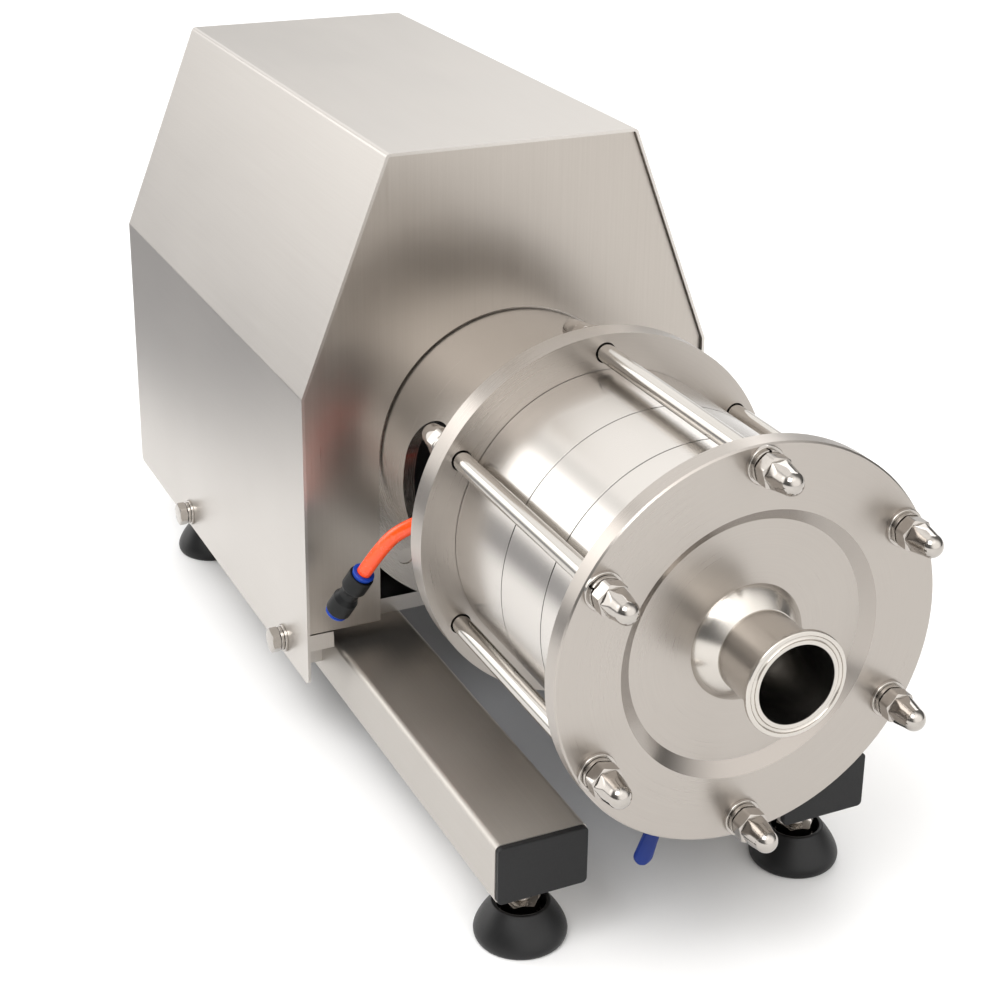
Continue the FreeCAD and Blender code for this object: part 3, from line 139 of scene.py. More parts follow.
def rounded(corners, steps=4):
    """A closed outline whose corners are arcs. A corner is (a, b, radius). The arc is tangent to both
    runs, so it starts before the corner by its radius times the tangent of half the turn."""
    points = np.array([c[:2] for c in corners], float)
    made = []
    for i, (here, (_, _, radius)) in enumerate(zip(points, corners)):
        to_here = here - points[i - 1]
        to_next = points[(i + 1) % len(points)] - here
        u = to_here / np.linalg.norm(to_here)
        v = to_next / np.linalg.norm(to_next)
        turn = math.atan2(u[0] * v[1] - u[1] * v[0], u @ v)
        if radius <= 0 or abs(turn) < 1e-3:
            made.append(here[None, :])
            continue
        start = here - u * radius * math.tan(abs(turn) / 2)
        side = math.copysign(1, turn) * np.array([-u[1], u[0]])
        t = np.linspace(0, abs(turn), steps + 1)[:, None]
        made.append(start + radius * (np.sin(t) * u + (1 - np.cos(t)) * side))
    return np.concatenate(made)


def disc(start, end, radius, near, far):
    """Half section of a solid disc from start to end, its two rims rounded by near and far."""
    return rounded([(start, pole, 0), (start, radius, near), (end, radius, far), (end, pole, 0)])


def square_to(axis):
    """The axis and two directions square to it and to each other, all of length 1."""
    axis = np.array(axis, float) / np.linalg.norm(axis)
    first = np.cross(axis, (0, 0, 1) if abs(axis[2]) < 0.9 else (1, 0, 0))
    first /= np.linalg.norm(first)
    return axis, first, np.cross(axis, first)


def turned(outline, centre, axis, count=96):
    """A profile of (along, radius) points carried round an axis: each point goes to centre + along
    times the axis + radius times the direction at the angle."""
    axis, first, second = square_to(axis)
    t = angles(count)[None, :, None]
    outline = np.asarray(outline, float)
    along, radius = outline[:, 0, None, None], outline[:, 1, None, None]
    return grid(np.array(centre) + along * axis + radius * (np.cos(t) * first + np.sin(t) * second))


def hex_radius(t, across):
    """Distance to a hexagon's side at angle t, with the corners slightly rounded off."""
    fold = (t % (math.pi / 3)) - math.pi / 6
    return (across / 2) / np.maximum(np.cos(fold), math.cos(math.pi / 6) * 1.018)


def nut(start, axis, across, height, bore=0.0, turn=0.0):
    """A hexagonal nut or head: the sides are a hexagon, and each end is cut by a 30 degree cone, whose
    edge on the sides rises by the side's distance beyond the cone's circle, times the tangent of 30
    degrees."""
    axis, first, second = square_to(axis)
    t = angles(72)
    side = hex_radius(t + turn, across)
    circle = np.full_like(t, 0.475 * across)
    rise = (side - circle) * math.tan(math.pi / 6)
    hole = np.full_like(t, max(bore, pole))
    zero = np.zeros_like(t)
    top = np.full_like(t, height)
    rows = [(zero, hole), (zero, circle), (rise, side), (top - rise, side), (top, circle), (top, hole)]
    if bore:
        rows.append((zero, hole))
    along = np.array([r[0] for r in rows])[..., None]
    radius = np.array([r[1] for r in rows])[..., None]
    t = t[None, :, None]
    return grid(np.array(start) + along * axis + radius * (np.cos(t) * first + np.sin(t) * second))


def round_copies(surface):
    """The same surface at every tie rod, turned by equal steps round the pump's axis."""
    points, quads = surface
    offset = points - (0, 0, axis_z)
    copies = []
    for t in angles(rod_count):
        turned_points = offset.copy()
        turned_points[:, 0] = offset[:, 0] * math.cos(t) + offset[:, 2] * math.sin(t)
        turned_points[:, 2] = offset[:, 2] * math.cos(t) - offset[:, 0] * math.sin(t)
        copies.append((turned_points + (0, 0, axis_z), quads))
    return copies


def flipped(surface, y):
    """The surface mirrored in the plane at y, with its faces still pointing out."""
    points, quads = surface
    return points * (1, -1, 1) + (0, 2 * y, 0), quads[:, ::-1]


def piece(name, surfaces, finish, body, stands_for=(), crease=32):
    """One mesh object from closed surfaces, each turned to face outwards by the sign of its volume."""
    points, faces, count = [], [], 0
    for surface_points, quads in surfaces:
        corners = surface_points[quads]
        centre = surface_points.mean(0)
        spread = corners - centre
        volume = (np.einsum("ij,ij->i", spread[:, 0], np.cross(spread[:, 1], spread[:, 2])).sum()
                  + np.einsum("ij,ij->i", spread[:, 0], np.cross(spread[:, 2], spread[:, 3])).sum())
        faces.append((quads if volume > 0 else quads[:, ::-1]) + count)
        points.append(surface_points)
        count += len(surface_points)
    mesh = bpy.data.meshes.new(name)
    mesh.from_pydata(np.concatenate(points) * mm, [], np.concatenate(faces).tolist())
    made = bpy.data.objects.new(name, mesh)
    bpy.context.scene.collection.objects.link(made)
    weld = made.modifiers.new("closed seams", "WELD")
    weld.merge_threshold = 2e-6
    mesh.shade_smooth()
    mesh.set_sharp_from_angle(angle=math.radians(crease))
    even = made.modifiers.new("flat faces stay flat", "WEIGHTED_NORMAL")
    even.keep_sharp = True
    mesh.materials.append(finish)
    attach(made, body)
    if stands_for:
        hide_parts(*stands_for)
    return made


# Finishes


def colour(code):
    """Linear colour of an sRGB hex value."""
    parts = [int(code[i:i + 2], 16) / 255 for i in (1, 3, 5)]
    return [c / 12.92 if c <= 0.04045 else ((c + 0.055) / 1.055) ** 2.4 for c in parts] + [1.0]


def add(tree, kind, inputs=(), **settings):
    """Adds one node, sets it up, and gives its inputs values or links."""
    made = tree.nodes.new(kind)
    for key, value in settings.items():
        setattr(made, key, value)
    for key, value in dict(inputs).items():
        if isinstance(value, bpy.types.NodeSocket):
            tree.links.new(value, made.inputs[key])
        else:
            made.inputs[key].default_value = value
    return made


def new_finish(name):
    """An empty material with a shader and the object's coordinates."""
    finish = bpy.data.materials.new(name)
    finish.use_nodes = True
    tree = finish.node_tree
    tree.nodes.clear()
    shader = add(tree, "ShaderNodeBsdfPrincipled")
    add(tree, "ShaderNodeOutputMaterial", {"Surface": shader.outputs[0]})
    place = add(tree, "ShaderNodeTexCoord").outputs["Object"]
    return finish, tree, shader, place


def steel(name, shade, roughness, spread, stretch, groove, bump, pull=0.65, bore=0.0,
          joints=(), slope=None):
    """Stainless steel whose fine scratches all run one way.

    groove is the scratches' direction, or None where the part was turned on a lathe and they run
    round the pump's axis. It leans a little, so that no flat face is square to it. stretch gives the
    pattern's repeats per metre across and along the scratches: 1000 is one in each millimetre. The
    highlight spreads across the scratches, so the tangent is normal x groove. Inside bore, in
    millimetres from the axis, the colour is darkened as painted shade, and the thin joints at the given
    places along Y get a dark line of painted shade. slope is a band of radii that was cut finer, so it
    is smoother; its darker colour there is painted shade."""
    finish, tree, shader, place = new_finish(name)
    across, along = stretch
    if groove is None:
        offset = add(tree, "ShaderNodeVectorMath", {0: place, 1: (0, 0, axis_z * mm)},
                     operation="SUBTRACT")
        parts = add(tree, "ShaderNodeSeparateXYZ", {0: offset.outputs[0]})
        flat = add(tree, "ShaderNodeCombineXYZ", {"X": parts.outputs["X"],
                                                  "Z": parts.outputs["Z"]})
        reach = add(tree, "ShaderNodeVectorMath", {0: flat.outputs[0]}, operation="LENGTH")
        outwards = add(tree, "ShaderNodeVectorMath", {0: flat.outputs[0]}, operation="NORMALIZE")
        run = add(tree, "ShaderNodeVectorMath", {0: outwards.outputs[0], 1: (0, 1, 0)},
                  operation="CROSS_PRODUCT").outputs[0]
        rings = add(tree, "ShaderNodeCombineXYZ", {"X": reach.outputs["Value"],
                                                   "Y": parts.outputs["Y"]})
        fine = add(tree, "ShaderNodeVectorMath", {0: rings.outputs[0], "Scale": across},
                   operation="SCALE")
        slow = add(tree, "ShaderNodeVectorMath", {0: outwards.outputs[0], "Scale": along},
                   operation="SCALE")
        pattern = add(tree, "ShaderNodeVectorMath", {0: fine.outputs[0], 1: slow.outputs[0]},
                      operation="ADD").outputs[0]
    else:
        run = add(tree, "ShaderNodeCombineXYZ", dict(zip("XYZ", groove))).outputs[0]
        scale = [along if abs(g) > 0.5 else across for g in groove]
        pattern = add(tree, "ShaderNodeMapping", {"Vector": place, "Scale": scale}).outputs[0]
    scratches = add(tree, "ShaderNodeTexNoise", {"Vector": pattern, "Scale": 1.0, "Detail": 3.0,
                                                 "Roughness": 0.65})
    clouds = add(tree, "ShaderNodeTexNoise", {"Vector": place, "Scale": 9.0, "Detail": 2.0})
    both = add(tree, "ShaderNodeMath", {0: scratches.outputs["Fac"], 1: clouds.outputs["Fac"]},
               operation="ADD")
    rough = add(tree, "ShaderNodeMapRange", {"Value": both.outputs[0], "From Min": 0.6, "From Max": 1.4,
                                             "To Min": roughness - spread,
                                             "To Max": roughness + spread})
    tint = add(tree, "ShaderNodeMix", {"Factor": scratches.outputs["Fac"], "A": colour(shade[0]),
                                       "B": colour(shade[1])}, data_type="RGBA")
    height = add(tree, "ShaderNodeBump", {"Height": scratches.outputs["Fac"], "Strength": bump,
                                          "Distance": 0.00004})
    normal = add(tree, "ShaderNodeNewGeometry").outputs["Normal"]
    cross = add(tree, "ShaderNodeVectorMath", {0: normal, 1: run}, operation="CROSS_PRODUCT")
    tangent = add(tree, "ShaderNodeVectorMath", {0: cross.outputs[0]}, operation="NORMALIZE")
    shown = tint.outputs["Result"]
    # Painted shade: inside the bore the colour goes to a dark grey
    if bore:
        inside = add(tree, "ShaderNodeMapRange", {"Value": reach.outputs["Value"],
                                                  "From Min": (bore - 0.1) * mm,
                                                  "From Max": bore * mm})
        shown = add(tree, "ShaderNodeMix", {"Factor": inside.outputs[0], "A": colour("#8e8b87"),
                                            "B": shown}, data_type="RGBA").outputs["Result"]
    # Painted shade: a thin dark line at each joint, for the shade in the groove between two rings
    for y in joints:
        line = add(tree, "ShaderNodeMath", {0: parts.outputs["Y"], 1: y * mm, 2: seam_shade_half_width * mm},
                   operation="COMPARE")
        shown = add(tree, "ShaderNodeMix", {"Factor": line.outputs[0], "A": shown,
                                            "B": colour("#3c3a38")}, data_type="RGBA").outputs["Result"]
    rough = rough.outputs[0]
    # The band is smoother, as it was cut finer; its darker colour is painted shade
    if slope:
        middle, half = sum(slope) / 2 * mm, (slope[1] - slope[0]) / 2 * mm
        band = add(tree, "ShaderNodeMath", {0: reach.outputs["Value"], 1: middle, 2: half},
                   operation="COMPARE")
        rough = add(tree, "ShaderNodeMix", {"Factor": band.outputs[0], "A": rough,
                                            "B": 0.2}).outputs["Result"]
        shown = add(tree, "ShaderNodeMix", {"Factor": band.outputs[0], "A": shown,
                                            "B": colour("#a09a94")}, data_type="RGBA").outputs["Result"]
    tree.links.new(shown, shader.inputs["Base Color"])
    tree.links.new(rough, shader.inputs["Roughness"])
    tree.links.new(height.outputs[0], shader.inputs["Normal"])
    tree.links.new(tangent.outputs[0], shader.inputs["Tangent"])
    shader.inputs["Metallic"].default_value = 1.0
    shader.inputs["Anisotropic"].default_value = pull
    return finish


def moulded(name, shades, roughness, grain, bump, coat=0.0, glow=0.0, shine=0.5):
    """Plastic, rubber or paint: two close shades, and a grain of the given repeats per metre, which
    sets its bump and spreads its roughness. coat is a clear skin, glow the light from under it."""
    finish, tree, shader, place = new_finish(name)
    fine = add(tree, "ShaderNodeTexNoise", {"Vector": place, "Scale": grain, "Detail": 3.0})
    broad = add(tree, "ShaderNodeTexNoise", {"Vector": place, "Scale": 25.0, "Detail": 2.0})
    tint = add(tree, "ShaderNodeMix", {"Factor": broad.outputs["Fac"], "A": colour(shades[0]),
                                       "B": colour(shades[1])}, data_type="RGBA")
    rough = add(tree, "ShaderNodeMapRange", {"Value": fine.outputs["Fac"], "From Min": 0.3,
                                             "From Max": 0.7, "To Min": roughness - 0.06,
                                             "To Max": roughness + 0.06})
    height = add(tree, "ShaderNodeBump", {"Height": fine.outputs["Fac"], "Strength": bump,
                                          "Distance": 0.00008})
    tree.links.new(tint.outputs["Result"], shader.inputs["Base Color"])
    tree.links.new(rough.outputs[0], shader.inputs["Roughness"])
    tree.links.new(height.outputs[0], shader.inputs["Normal"])
    shader.inputs["Specular IOR Level"].default_value = shine
    shader.inputs["Coat Weight"].default_value = coat
    shader.inputs["Subsurface Weight"].default_value = glow
    shader.inputs["Subsurface Radius"].default_value = (0.004, 0.0015, 0.0005)
    return finish


lengthwise, upright = (0.03, 1, 0.02), (0.03, 0.02, 1)

# Number 4 sheet: belt-ground lines smear every reflection across themselves. The real ones are about
# 0.1 mm apart, and are drawn about 1 mm apart so that they show
sheet_steel = steel("belt-ground stainless sheet, lengthwise grain", ("#bdb8b3", "#c7c3be"), 0.33, 0.04,
                    (900, 9), lengthwise, 0.03, 0.45)
panel_steel = steel("belt-ground stainless front sheet, upright grain", ("#aca59e", "#b6b0a9"), 0.31,
                    0.04, (900, 9), upright, 0.03, 0.45)
rail_steel = steel("belt-ground stainless tube, lengthwise grain", ("#b1aca6", "#bcb8b3"), 0.45, 0.05,
                   (1100, 7), lengthwise, 0.07, 0.4)
# Facing cuts leave rings about 0.45 mm apart, which pull each highlight along the radius into a fan
# The slope round the recess is cut finer and so smoother; its darker colour there is painted shade
faced_steel = steel("lathe-faced stainless disc", ("#a6a09a", "#b0aaa4"), 0.30, 0.05, (2200, 2), None,
                    0.05, 0.6, slope=finer_shaded_band)
# Turning marks about 0.4 mm apart run round the ring, so light and dark lie along it as soft bands. At
# its joints a thin dark line of painted shade stands for the shade in the grooves between the rings
turned_steel = steel("turned and satin-ground stainless ring", ("#c4c0bb", "#cecac6"), 0.24, 0.05,
                     (2400, 2), None, 0.04, 0.65, joints=joints_y)
# The lantern is turned too, and a little rougher. Its greyer colour is painted shade, as it sits in the
# shade of the hood and the pump
shaded_lantern_steel = steel("turned stainless with painted shade", ("#b6b1ab", "#c0bbb6"), 0.25, 0.05, (2400, 2), None,
                      0.04, 0.65)
# Electropolished: bright, with only a faint waviness of about 3 mm, so facets flash light and dark
polished_steel = steel("electropolished stainless fastener", ("#aaa59f", "#b4afaa"), 0.14, 0.03,
                       (300, 300), (0.03, 0.05, 1), 0.03, 0.0)
# Polished on a mop, with marks about 0.6 mm apart: clear bands along the tube. Inside the bore the
# colour is darkened as painted shade
port_steel = steel("polished stainless clamp port", ("#bdb8b1", "#c7c2bc"), 0.23, 0.04, (1600, 2), None,
                   0.04, 0.5, bore=shaded_bore_rim)
# Drawn bar: faint die lines about 0.7 mm apart run along the rod and keep its bright line sharp
rod_steel = steel("drawn stainless rod", ("#b9b5af", "#c4c0bb"), 0.15, 0.04, (1400, 8), lengthwise, 0.05,
                  0.3)
# As it left the milling cutter: duller than what shows outside. Its greyer colour is painted shade, for
# parts that sit in the shadow inside the pump
inner_steel = steel("machined stainless inside", ("#8f8b86", "#a09c97"), 0.38, 0.06, (1800, 2), None,
                    0.08, 0.4)
# Stacked sheets under varnish: brown-grey, and dull
dark_steel = steel("varnished electrical steel and windings", ("#5c5650", "#6e675f"), 0.45, 0.08,
                   (1500, 4), None, 0.1, 0.3)
# Textured tools leave the black plastics matt, with a wide dull sheen. Their real grain of about 0.2 mm
# is drawn at 0.7 to 0.9 mm so that it shows
cap_plastic = moulded("moulded black polyethylene cap", ("#111112", "#171718"), 0.50, 1400, 0.25,
                      shine=0.3)
foot_plastic = moulded("moulded black polyamide foot", ("#0b0b0c", "#121213"), 0.42, 1100, 0.2,
                       shine=0.35)
union_plastic = moulded("moulded black union body", ("#08090a", "#0e0f10"), 0.40, 1500, 0.15,
                        shine=0.25)
# A smooth tool: the blue ring has a clear edge to its highlight
collet_plastic = moulded("moulded blue acetal release ring", ("#0a3694", "#103fa6"), 0.36, 900, 0.08,
                         shine=0.35)
# Polished die: the tube is glossy, and a little light comes back out from under its skin
tube_plastic = moulded("extruded orange polyurethane tube", ("#ff4a0a", "#ff5210"), 0.24, 300, 0.01,
                       coat=0.3, glow=0.08)
# Dipping leaves a thick, slightly soft skin
grip_plastic = moulded("blue dipped vinyl grip", ("#021d5e", "#032670"), 0.34, 500, 0.06, shine=0.25)
# Powder that ran together in the oven: an even grey, with pebbles of about 1 mm
motor_paint = moulded("grey powder coat on cast aluminium", ("#34373a", "#3c3f43"), 0.5, 900, 0.3,
                      shine=0.35)
# Pressed between hot plates: matt, almost without a highlight
seal_black = moulded("pressed black elastomer ring", ("#121212", "#1a1a1a"), 0.6, 1200, 0.2)

finish_of = {
    sheet_steel: ["hood_shell", "base_plate"],
    panel_steel: ["hood_front_panel", "hood_rear_panel"],
    rail_steel: ["rail_left", "rail_right"],
    faced_steel: ["front_flange", "rear_flange"],
    turned_steel: ["stage_housing_1", "stage_housing_2", "stage_housing_3", "seal_gland"],
    shaded_lantern_steel: ["lantern"],
    port_steel: ["inlet_port", "outlet_port", "rotor_nut", "seal_rotating"],
    polished_steel: ["lantern_bolts", "motor_foot_bolts", "drain_valve_body", "flush_fitting",
                     "foot_lock_nuts", "hood_bolts", "bearing_inner_races", "bearing_outer_races"],
    rod_steel: ["tie_rods", "clamp_collar", "pump_shaft"],
    inner_steel: ["rotor_1", "rotor_2", "rotor_3", "stator_ring_1", "stator_ring_2", "stator_ring_3",
                  "seal_stationary"],
    dark_steel: ["motor_stator", "motor_rotor"],
    cap_plastic: ["rail_end_caps", "fan"],
    motor_paint: ["motor_housing", "motor_front_shield", "motor_rear_shield", "fan_cowl", "terminal_box",
                  "terminal_box_lid"],
    seal_black: ["casing_o_rings"],
}
for finish, names in finish_of.items():
    for name in names:
        nodes[name].data.materials.clear()
        nodes[name].data.materials.append(finish)


# Tie-rod fasteners: flat washer, split spring washer, nut and domed cap nut at both ends


def split_washer(start, radius, bore, thickness, lift=0.5):
    """A spring washer: a square wire bent round most of a turn, rising by lift from one cut end to the
    other."""
    t = angles(60, 4, 356, closed=False)
    ramp = np.linspace(-0.5, 0.5, len(t)) * lift
    section = rounded([(0, bore, 0.25), (thickness, bore, 0.25), (thickness, radius, 0.25),
                       (0, radius, 0.25)], 2)
    middle = section.mean(0)
    section = np.concatenate([section, section[:1]])
    ends = [np.broadcast_to(middle, section.shape), section]
    rows = []
    for i, (a, rise) in enumerate(zip(t, ramp)):
        for outline in (ends if i == 0 else ends[::-1] if i == len(t) - 1 else [section]):
            along = start[1] - outline[:, 0] + rise
            rows.append(np.stack([start[0] + outline[:, 1] * math.sin(a), along,
                                  start[2] + outline[:, 1] * math.cos(a)], -1))
    return grid(np.array(rows), wrap=False)


def cap_nut(start, across, height):
    """A domed nut along low Y. Its radius is the lesser of a hexagon's and a cone's, which falls from
    base to ball with the height, and then half a ball closes it."""
    ball = 0.44 * across
    base = 0.575 * across
    bevel = 0.35
    barrel = height - 0.42 * across
    t = angles(72)
    rows = [(0.0, np.full_like(t, pole))]
    for y in np.concatenate([[0.0, bevel], np.linspace(0.8, barrel, 14)]):
        cone = base + (ball - base) * y / barrel - max(0.0, bevel - y)
        rows.append((y, np.minimum(hex_radius(t, across), cone)))
    for a in np.radians(np.linspace(9, 90, 10)):
        rows.append((barrel + ball * math.sin(a), np.full_like(t, ball * math.cos(a) + 1e-4)))
    along = np.array([np.full_like(t, y) for y, _ in rows])
    radius = np.array([r for _, r in rows])
    return grid(np.stack([start[0] + radius * np.cos(t), start[1] - along,
                          start[2] + radius * np.sin(t)], -1))


top_rod = np.array([0, face_y, axis_z + rod_circle])
forward = np.array([0, -1, 0])
nut_start = washer_thickness + spring_space
washer_section = rounded([(0, washer_bore, 0.2), (washer_thickness, washer_bore, 0.2),
                          (washer_thickness, washer_radius, 0.5), (0, washer_radius, 0.2)], 3)
washer = turned(washer_section, top_rod, forward, 64)
spring = split_washer(top_rod + forward * (washer_thickness + 0.25), spring_radius, spring_bore,
                      spring_thickness)
plain = nut(top_rod + forward * nut_start, forward, nut_across, nut_height, bore=nut_bore,
            turn=math.radians(15))
domed = cap_nut(top_rod + forward * (nut_start + nut_height), cap_nut_across, cap_nut_height)
flat_washers, spring_washers, plain_nuts, domed_nuts = [], [], [], []
for group, surface in ((flat_washers, washer), (spring_washers, spring), (plain_nuts, plain),
                       (domed_nuts, domed)):
    for copy in round_copies(surface):
        group.append(copy)
        group.append(flipped(copy, (face_y + back_rear_y) / 2))
piece("tie_rod_washer_set", flat_washers + spring_washers, polished_steel, "frame",
      ["tie_rod_washers"])
piece("tie_rod_nut_set", plain_nuts, polished_steel, "frame", ["tie_rod_nuts"])
piece("tie_rod_cap_nut_set", domed_nuts, polished_steel, "frame",
      ["tie_rod_cap_nuts"])

# Inlet: a clamp port whose tube leaves the cover through a swelling weld neck


def port_profile(tube, bore, lip, neck, floor, reach):
    """Closed half section of a clamp port. Its neck's radius falls from neck to tube as the 1.35th power
    of the distance from the floor. Its lip has a sloping back and a round gasket groove in its face."""
    root = [(floor + neck_length * s, neck - (neck - tube - weld_step) * s ** 1.35)
            for s in np.linspace(0, 1, 18)]
    lip_back = reach - lip_thickness
    slope_start = lip_back - (lip - tube) * math.tan(lip_slope)
    rear = floor - 6            # the tube's end inside the cover
    rim = rounded([(slope_start, tube, 1.2), (lip_back, lip, 0.7), (reach, lip, 0.9), (reach, bore, 0.4),
                   (rear, bore, 0.1), (rear, tube, 0.1)], 5)
    middle = (lip + bore) / 2
    face = np.flatnonzero((rim[:, 0] > reach - 1e-6) & (rim[:, 1] > middle))[-1] + 1
    t = np.radians(np.linspace(0, 180, 13))
    groove = np.column_stack([reach - 1.3 * np.sin(t), middle + 1.5 * np.cos(t)])
    outline = np.concatenate([[(floor, tube), (floor, neck - 0.5)], root,
                              [(floor + neck_length + 0.05, tube)], rim[:face], groove, rim[face:]])
    return np.concatenate([outline, outline[:1]])


inlet_outline = port_profile(port_tube, port_bore, port_lip, port_neck, recess_floor, port_reach)
piece("inlet_clamp_port", [turned(inlet_outline, (0, face_y, axis_z), forward, 128)], port_steel,
      "frame", ["inlet_port"], crease=28)

# Hood bolts: washers and a hexagon head on each side

hood_bolts = []
hood_washer = disc(0, hood_washer_top, hood_washer_radius, 0.3, 0.5)
hood_spring = disc(hood_washer_top, hood_spring_top, hood_spring_radius, 0.4, 0.4)
shank = [(-hood_bolt_depth, pole), (-hood_bolt_depth, hood_bolt_radius - 0.5),
         (0.5 - hood_bolt_depth, hood_bolt_radius), (0, hood_bolt_radius), (0, pole)]
for row in hood_bolt_rows:
    for side in (-1, 1):
        outside = np.array([side * hood_side_x, hood_front_y + row, hood_bolt_z])
        out = np.array([side, 0, 0])
        hood_bolts.append(turned(hood_washer, outside, out, 56))
        hood_bolts.append(turned(hood_spring, outside, out, 56))
        hood_bolts.append(nut(outside + out * hood_head_start, out, hood_bolt_across, hood_bolt_head,
                              turn=0.3))
        hood_bolts.append(turned(shank, outside, out, 32))
piece("hood_bolt_set", hood_bolts, polished_steel, "frame", ["hood_bolts"])

# Levelling feet: a bulging moulded foot, and a threaded stud with a hexagonal collar


def foot_profile():
    """Half section of the foot. The heel is a quarter ellipse. The flank's radius falls from 29 mm as
    the 1.45th power of the height above the heel, and the cup in its top has rounded lips."""
    heel = [(5 - 5 * math.cos(a), 26.6 + 2.4 * math.sin(a)) for a in np.radians(np.linspace(0, 90, 9))]
    flank = [(5 + 18.6 * s, 29 - 10.4 * s ** 1.45) for s in np.linspace(0.07, 1, 16)]
    lip = [(24.1, 18.3), (24.4, 17.9), (24.5, 17.4), (24.5, 16.4), (24.3, 15.9), (23.8, 15.6)]
    cup = [(15, 15.4), (14.3, 15), (cup_floor, 14.2), (cup_floor, 6.1), (5, 6.1), (5, pole)]
    return [(0, pole)] + heel + flank + lip + cup


def thread(centre, radius, z0, z1, pitch=1.75, depth=0.9):
    """A screw thread: the radius falls and rises with height less the turned angle, once each pitch."""
    t = angles(36)
    z = np.arange(z0, z1, pitch / 8)
    phase = (z[:, None] / pitch - t[None, :] / (2 * math.pi)) % 1.0
    r = radius - depth * np.abs(2 * phase - 1)
    points = np.stack([centre[0] + r * np.cos(t), centre[1] + r * np.sin(t),
                       np.broadcast_to(z[:, None], r.shape)], -1)
    bottom = np.broadcast_to((centre[0], centre[1], z[0]), points[:1].shape)
    top = np.broadcast_to((centre[0], centre[1], z[-1]), points[:1].shape)
    return grid(np.concatenate([bottom, points, top]))


flange = disc(cup_floor, cup_floor + flange_height, flange_radius, 0.4, 1.2)
lock_nuts = []
for place in foot_places:
    low, high = low_high("foot_pad_" + place)
    centre = np.append((low[:2] + high[:2]) / 2, 0.0)
    body = "foot_" + place
    upward = np.array([0, 0, 1])
    piece(body + "_pad", [turned(foot_profile(), centre, upward, 96)], foot_plastic, body,
          ["foot_pad_" + place])
    piece(body + "_stud", [turned(flange, centre, upward, 72),
                           nut(centre + upward * (cup_floor + flange_height), upward, stud_across,
                               stud_height, turn=0.78),
                           thread(centre, stud_radius, thread_low, thread_high)],
          polished_steel, body, ["foot_stud_" + place])
    lock_nuts.append(nut(centre + upward * lock_nut_z, upward, lock_nut_across, lock_nut_height,
                         bore=nut_bore, turn=0.45))
piece("foot_lock_nut_set", lock_nuts, polished_steel, "frame",
      ["foot_lock_nuts"])

# Flush line: tube and union


def smooth_tube(name, route, radius):
    """A round tube along the smooth line that has the route's points as its control points."""
    curve = bpy.data.curves.new(name, "CURVE")
    curve.dimensions = "3D"
    spline = curve.splines.new("NURBS")
    spline.points.add(len(route) - 1)
    spline.points.foreach_set("co", np.column_stack([route * mm, np.ones(len(route))]).ravel())
    spline.order_u = 3
    spline.use_endpoint_u = True
    spline.resolution_u = 24
    curve.bevel_depth = radius * mm
    curve.bevel_resolution = 10
    curve.use_fill_caps = True
    made = bpy.data.objects.new(name, curve)
    bpy.context.scene.collection.objects.link(made)
    return made


flush_end = flush_route[-1]
flush_run = (flush_end - flush_route[-2]) / np.linalg.norm(flush_end - flush_route[-2])
union_length = 42.0
union_body = rounded([(3.2, pole, 0), (3.2, 8.6, 0.7), (15, 8.6, 0.9), (18.6, 6.6, 1.5),
                      (23.4, 6.6, 1.5), (27, 8.6, 0.9), (38.8, 8.6, 0.7), (38.8, 5.2, 0.2),
                      (34, 5.2, 0.2), (34, 3.3, 0.2), (34, pole, 0)], 4)
near_collet = rounded([(0, 5.05, 0.3), (0, 7.6, 0.5), (1.3, 7.6, 0.3), (1.6, 6.9, 0.3),
                       (3.3, 6.9, 0.1), (3.3, 5.05, 0.1)], 3)
far_collet = [(union_length - a, r) for a, r in near_collet]
union = piece("flush_union_body", [turned(union_body, flush_end, flush_run, 72)], union_plastic, "frame",
              ["flush_union"])
collets = piece("flush_union_collets", [turned(np.concatenate([c, c[:1]]), flush_end, flush_run, 72)
                                        for c in (near_collet, far_collet)],
                collet_plastic, "frame")
tube = smooth_tube("flush_tube_line", flush_route, flush_radius)
tube.data.materials.append(tube_plastic)
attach(tube, "frame")
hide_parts("flush_tube")

# Drain valve's lever: a dipped grip, with its nut and spindle

down = np.array([-math.sin(drain_angle), 0, -math.cos(drain_angle)])
across = np.array([math.cos(drain_angle), 0, -math.sin(drain_angle)])
lever_y = stage_fronts[0] + drain_valve_offset - drain_lever_offset


def lever_grip():
    """The grip, from 4 mm above the pivot to 39 mm below it. Its half width follows the given widths,
    and the root of a circle's equation rounds both ends off. Each section is an oval of the power
    0.6, which thins where the half width is below 3 mm."""
    s = np.linspace(0, 1, 48)
    reach = -4 + 43 * (1 - np.cos(math.pi * s)) / 2
    half = np.interp(reach, [-4, 2, 8, 16, 27, 33, 39], [6.8, 6.8, 5.6, 5.2, 5.9, 6.4, 6.4])
    half = half * np.sqrt(np.clip(1 - (np.maximum(reach - 32.6, 0) / 6.4) ** 2, 0, 1))
    half = half * np.sqrt(np.clip(1 - (np.maximum(1 - reach, 0) / 5.01) ** 2, 0, 1)) + pole
    t = angles(40)
    ring_x = np.sign(np.cos(t)) * np.abs(np.cos(t)) ** 0.6
    ring_y = np.sign(np.sin(t)) * np.abs(np.sin(t)) ** 0.6
    thick = 2.1 * np.minimum(1, (half / 3.0)) ** 0.5
    points = (np.array([0, lever_y, axis_z]) + (drain_pivot + reach)[:, None, None] * down
              + (half[:, None] * ring_x)[..., None] * across
              + (thick[:, None] * ring_y)[..., None] * np.array([0, 1, 0]))
    return grid(points)


pivot_at = np.array([0, lever_y, axis_z]) + down * drain_pivot
piece("drain_lever_grip", [lever_grip()], grip_plastic, "drain_handle", ["drain_lever"])
spindle = [(0, pole), (0, spindle_radius), (spindle_length, spindle_radius), (spindle_length, pole)]
piece("drain_lever_spindle", [nut(pivot_at + forward * spindle_nut_start, forward,
                                  spindle_nut_across, spindle_nut_height),
                              turned(spindle, pivot_at, -forward, 32)],
      polished_steel, "drain_handle")

# Floor, light and camera

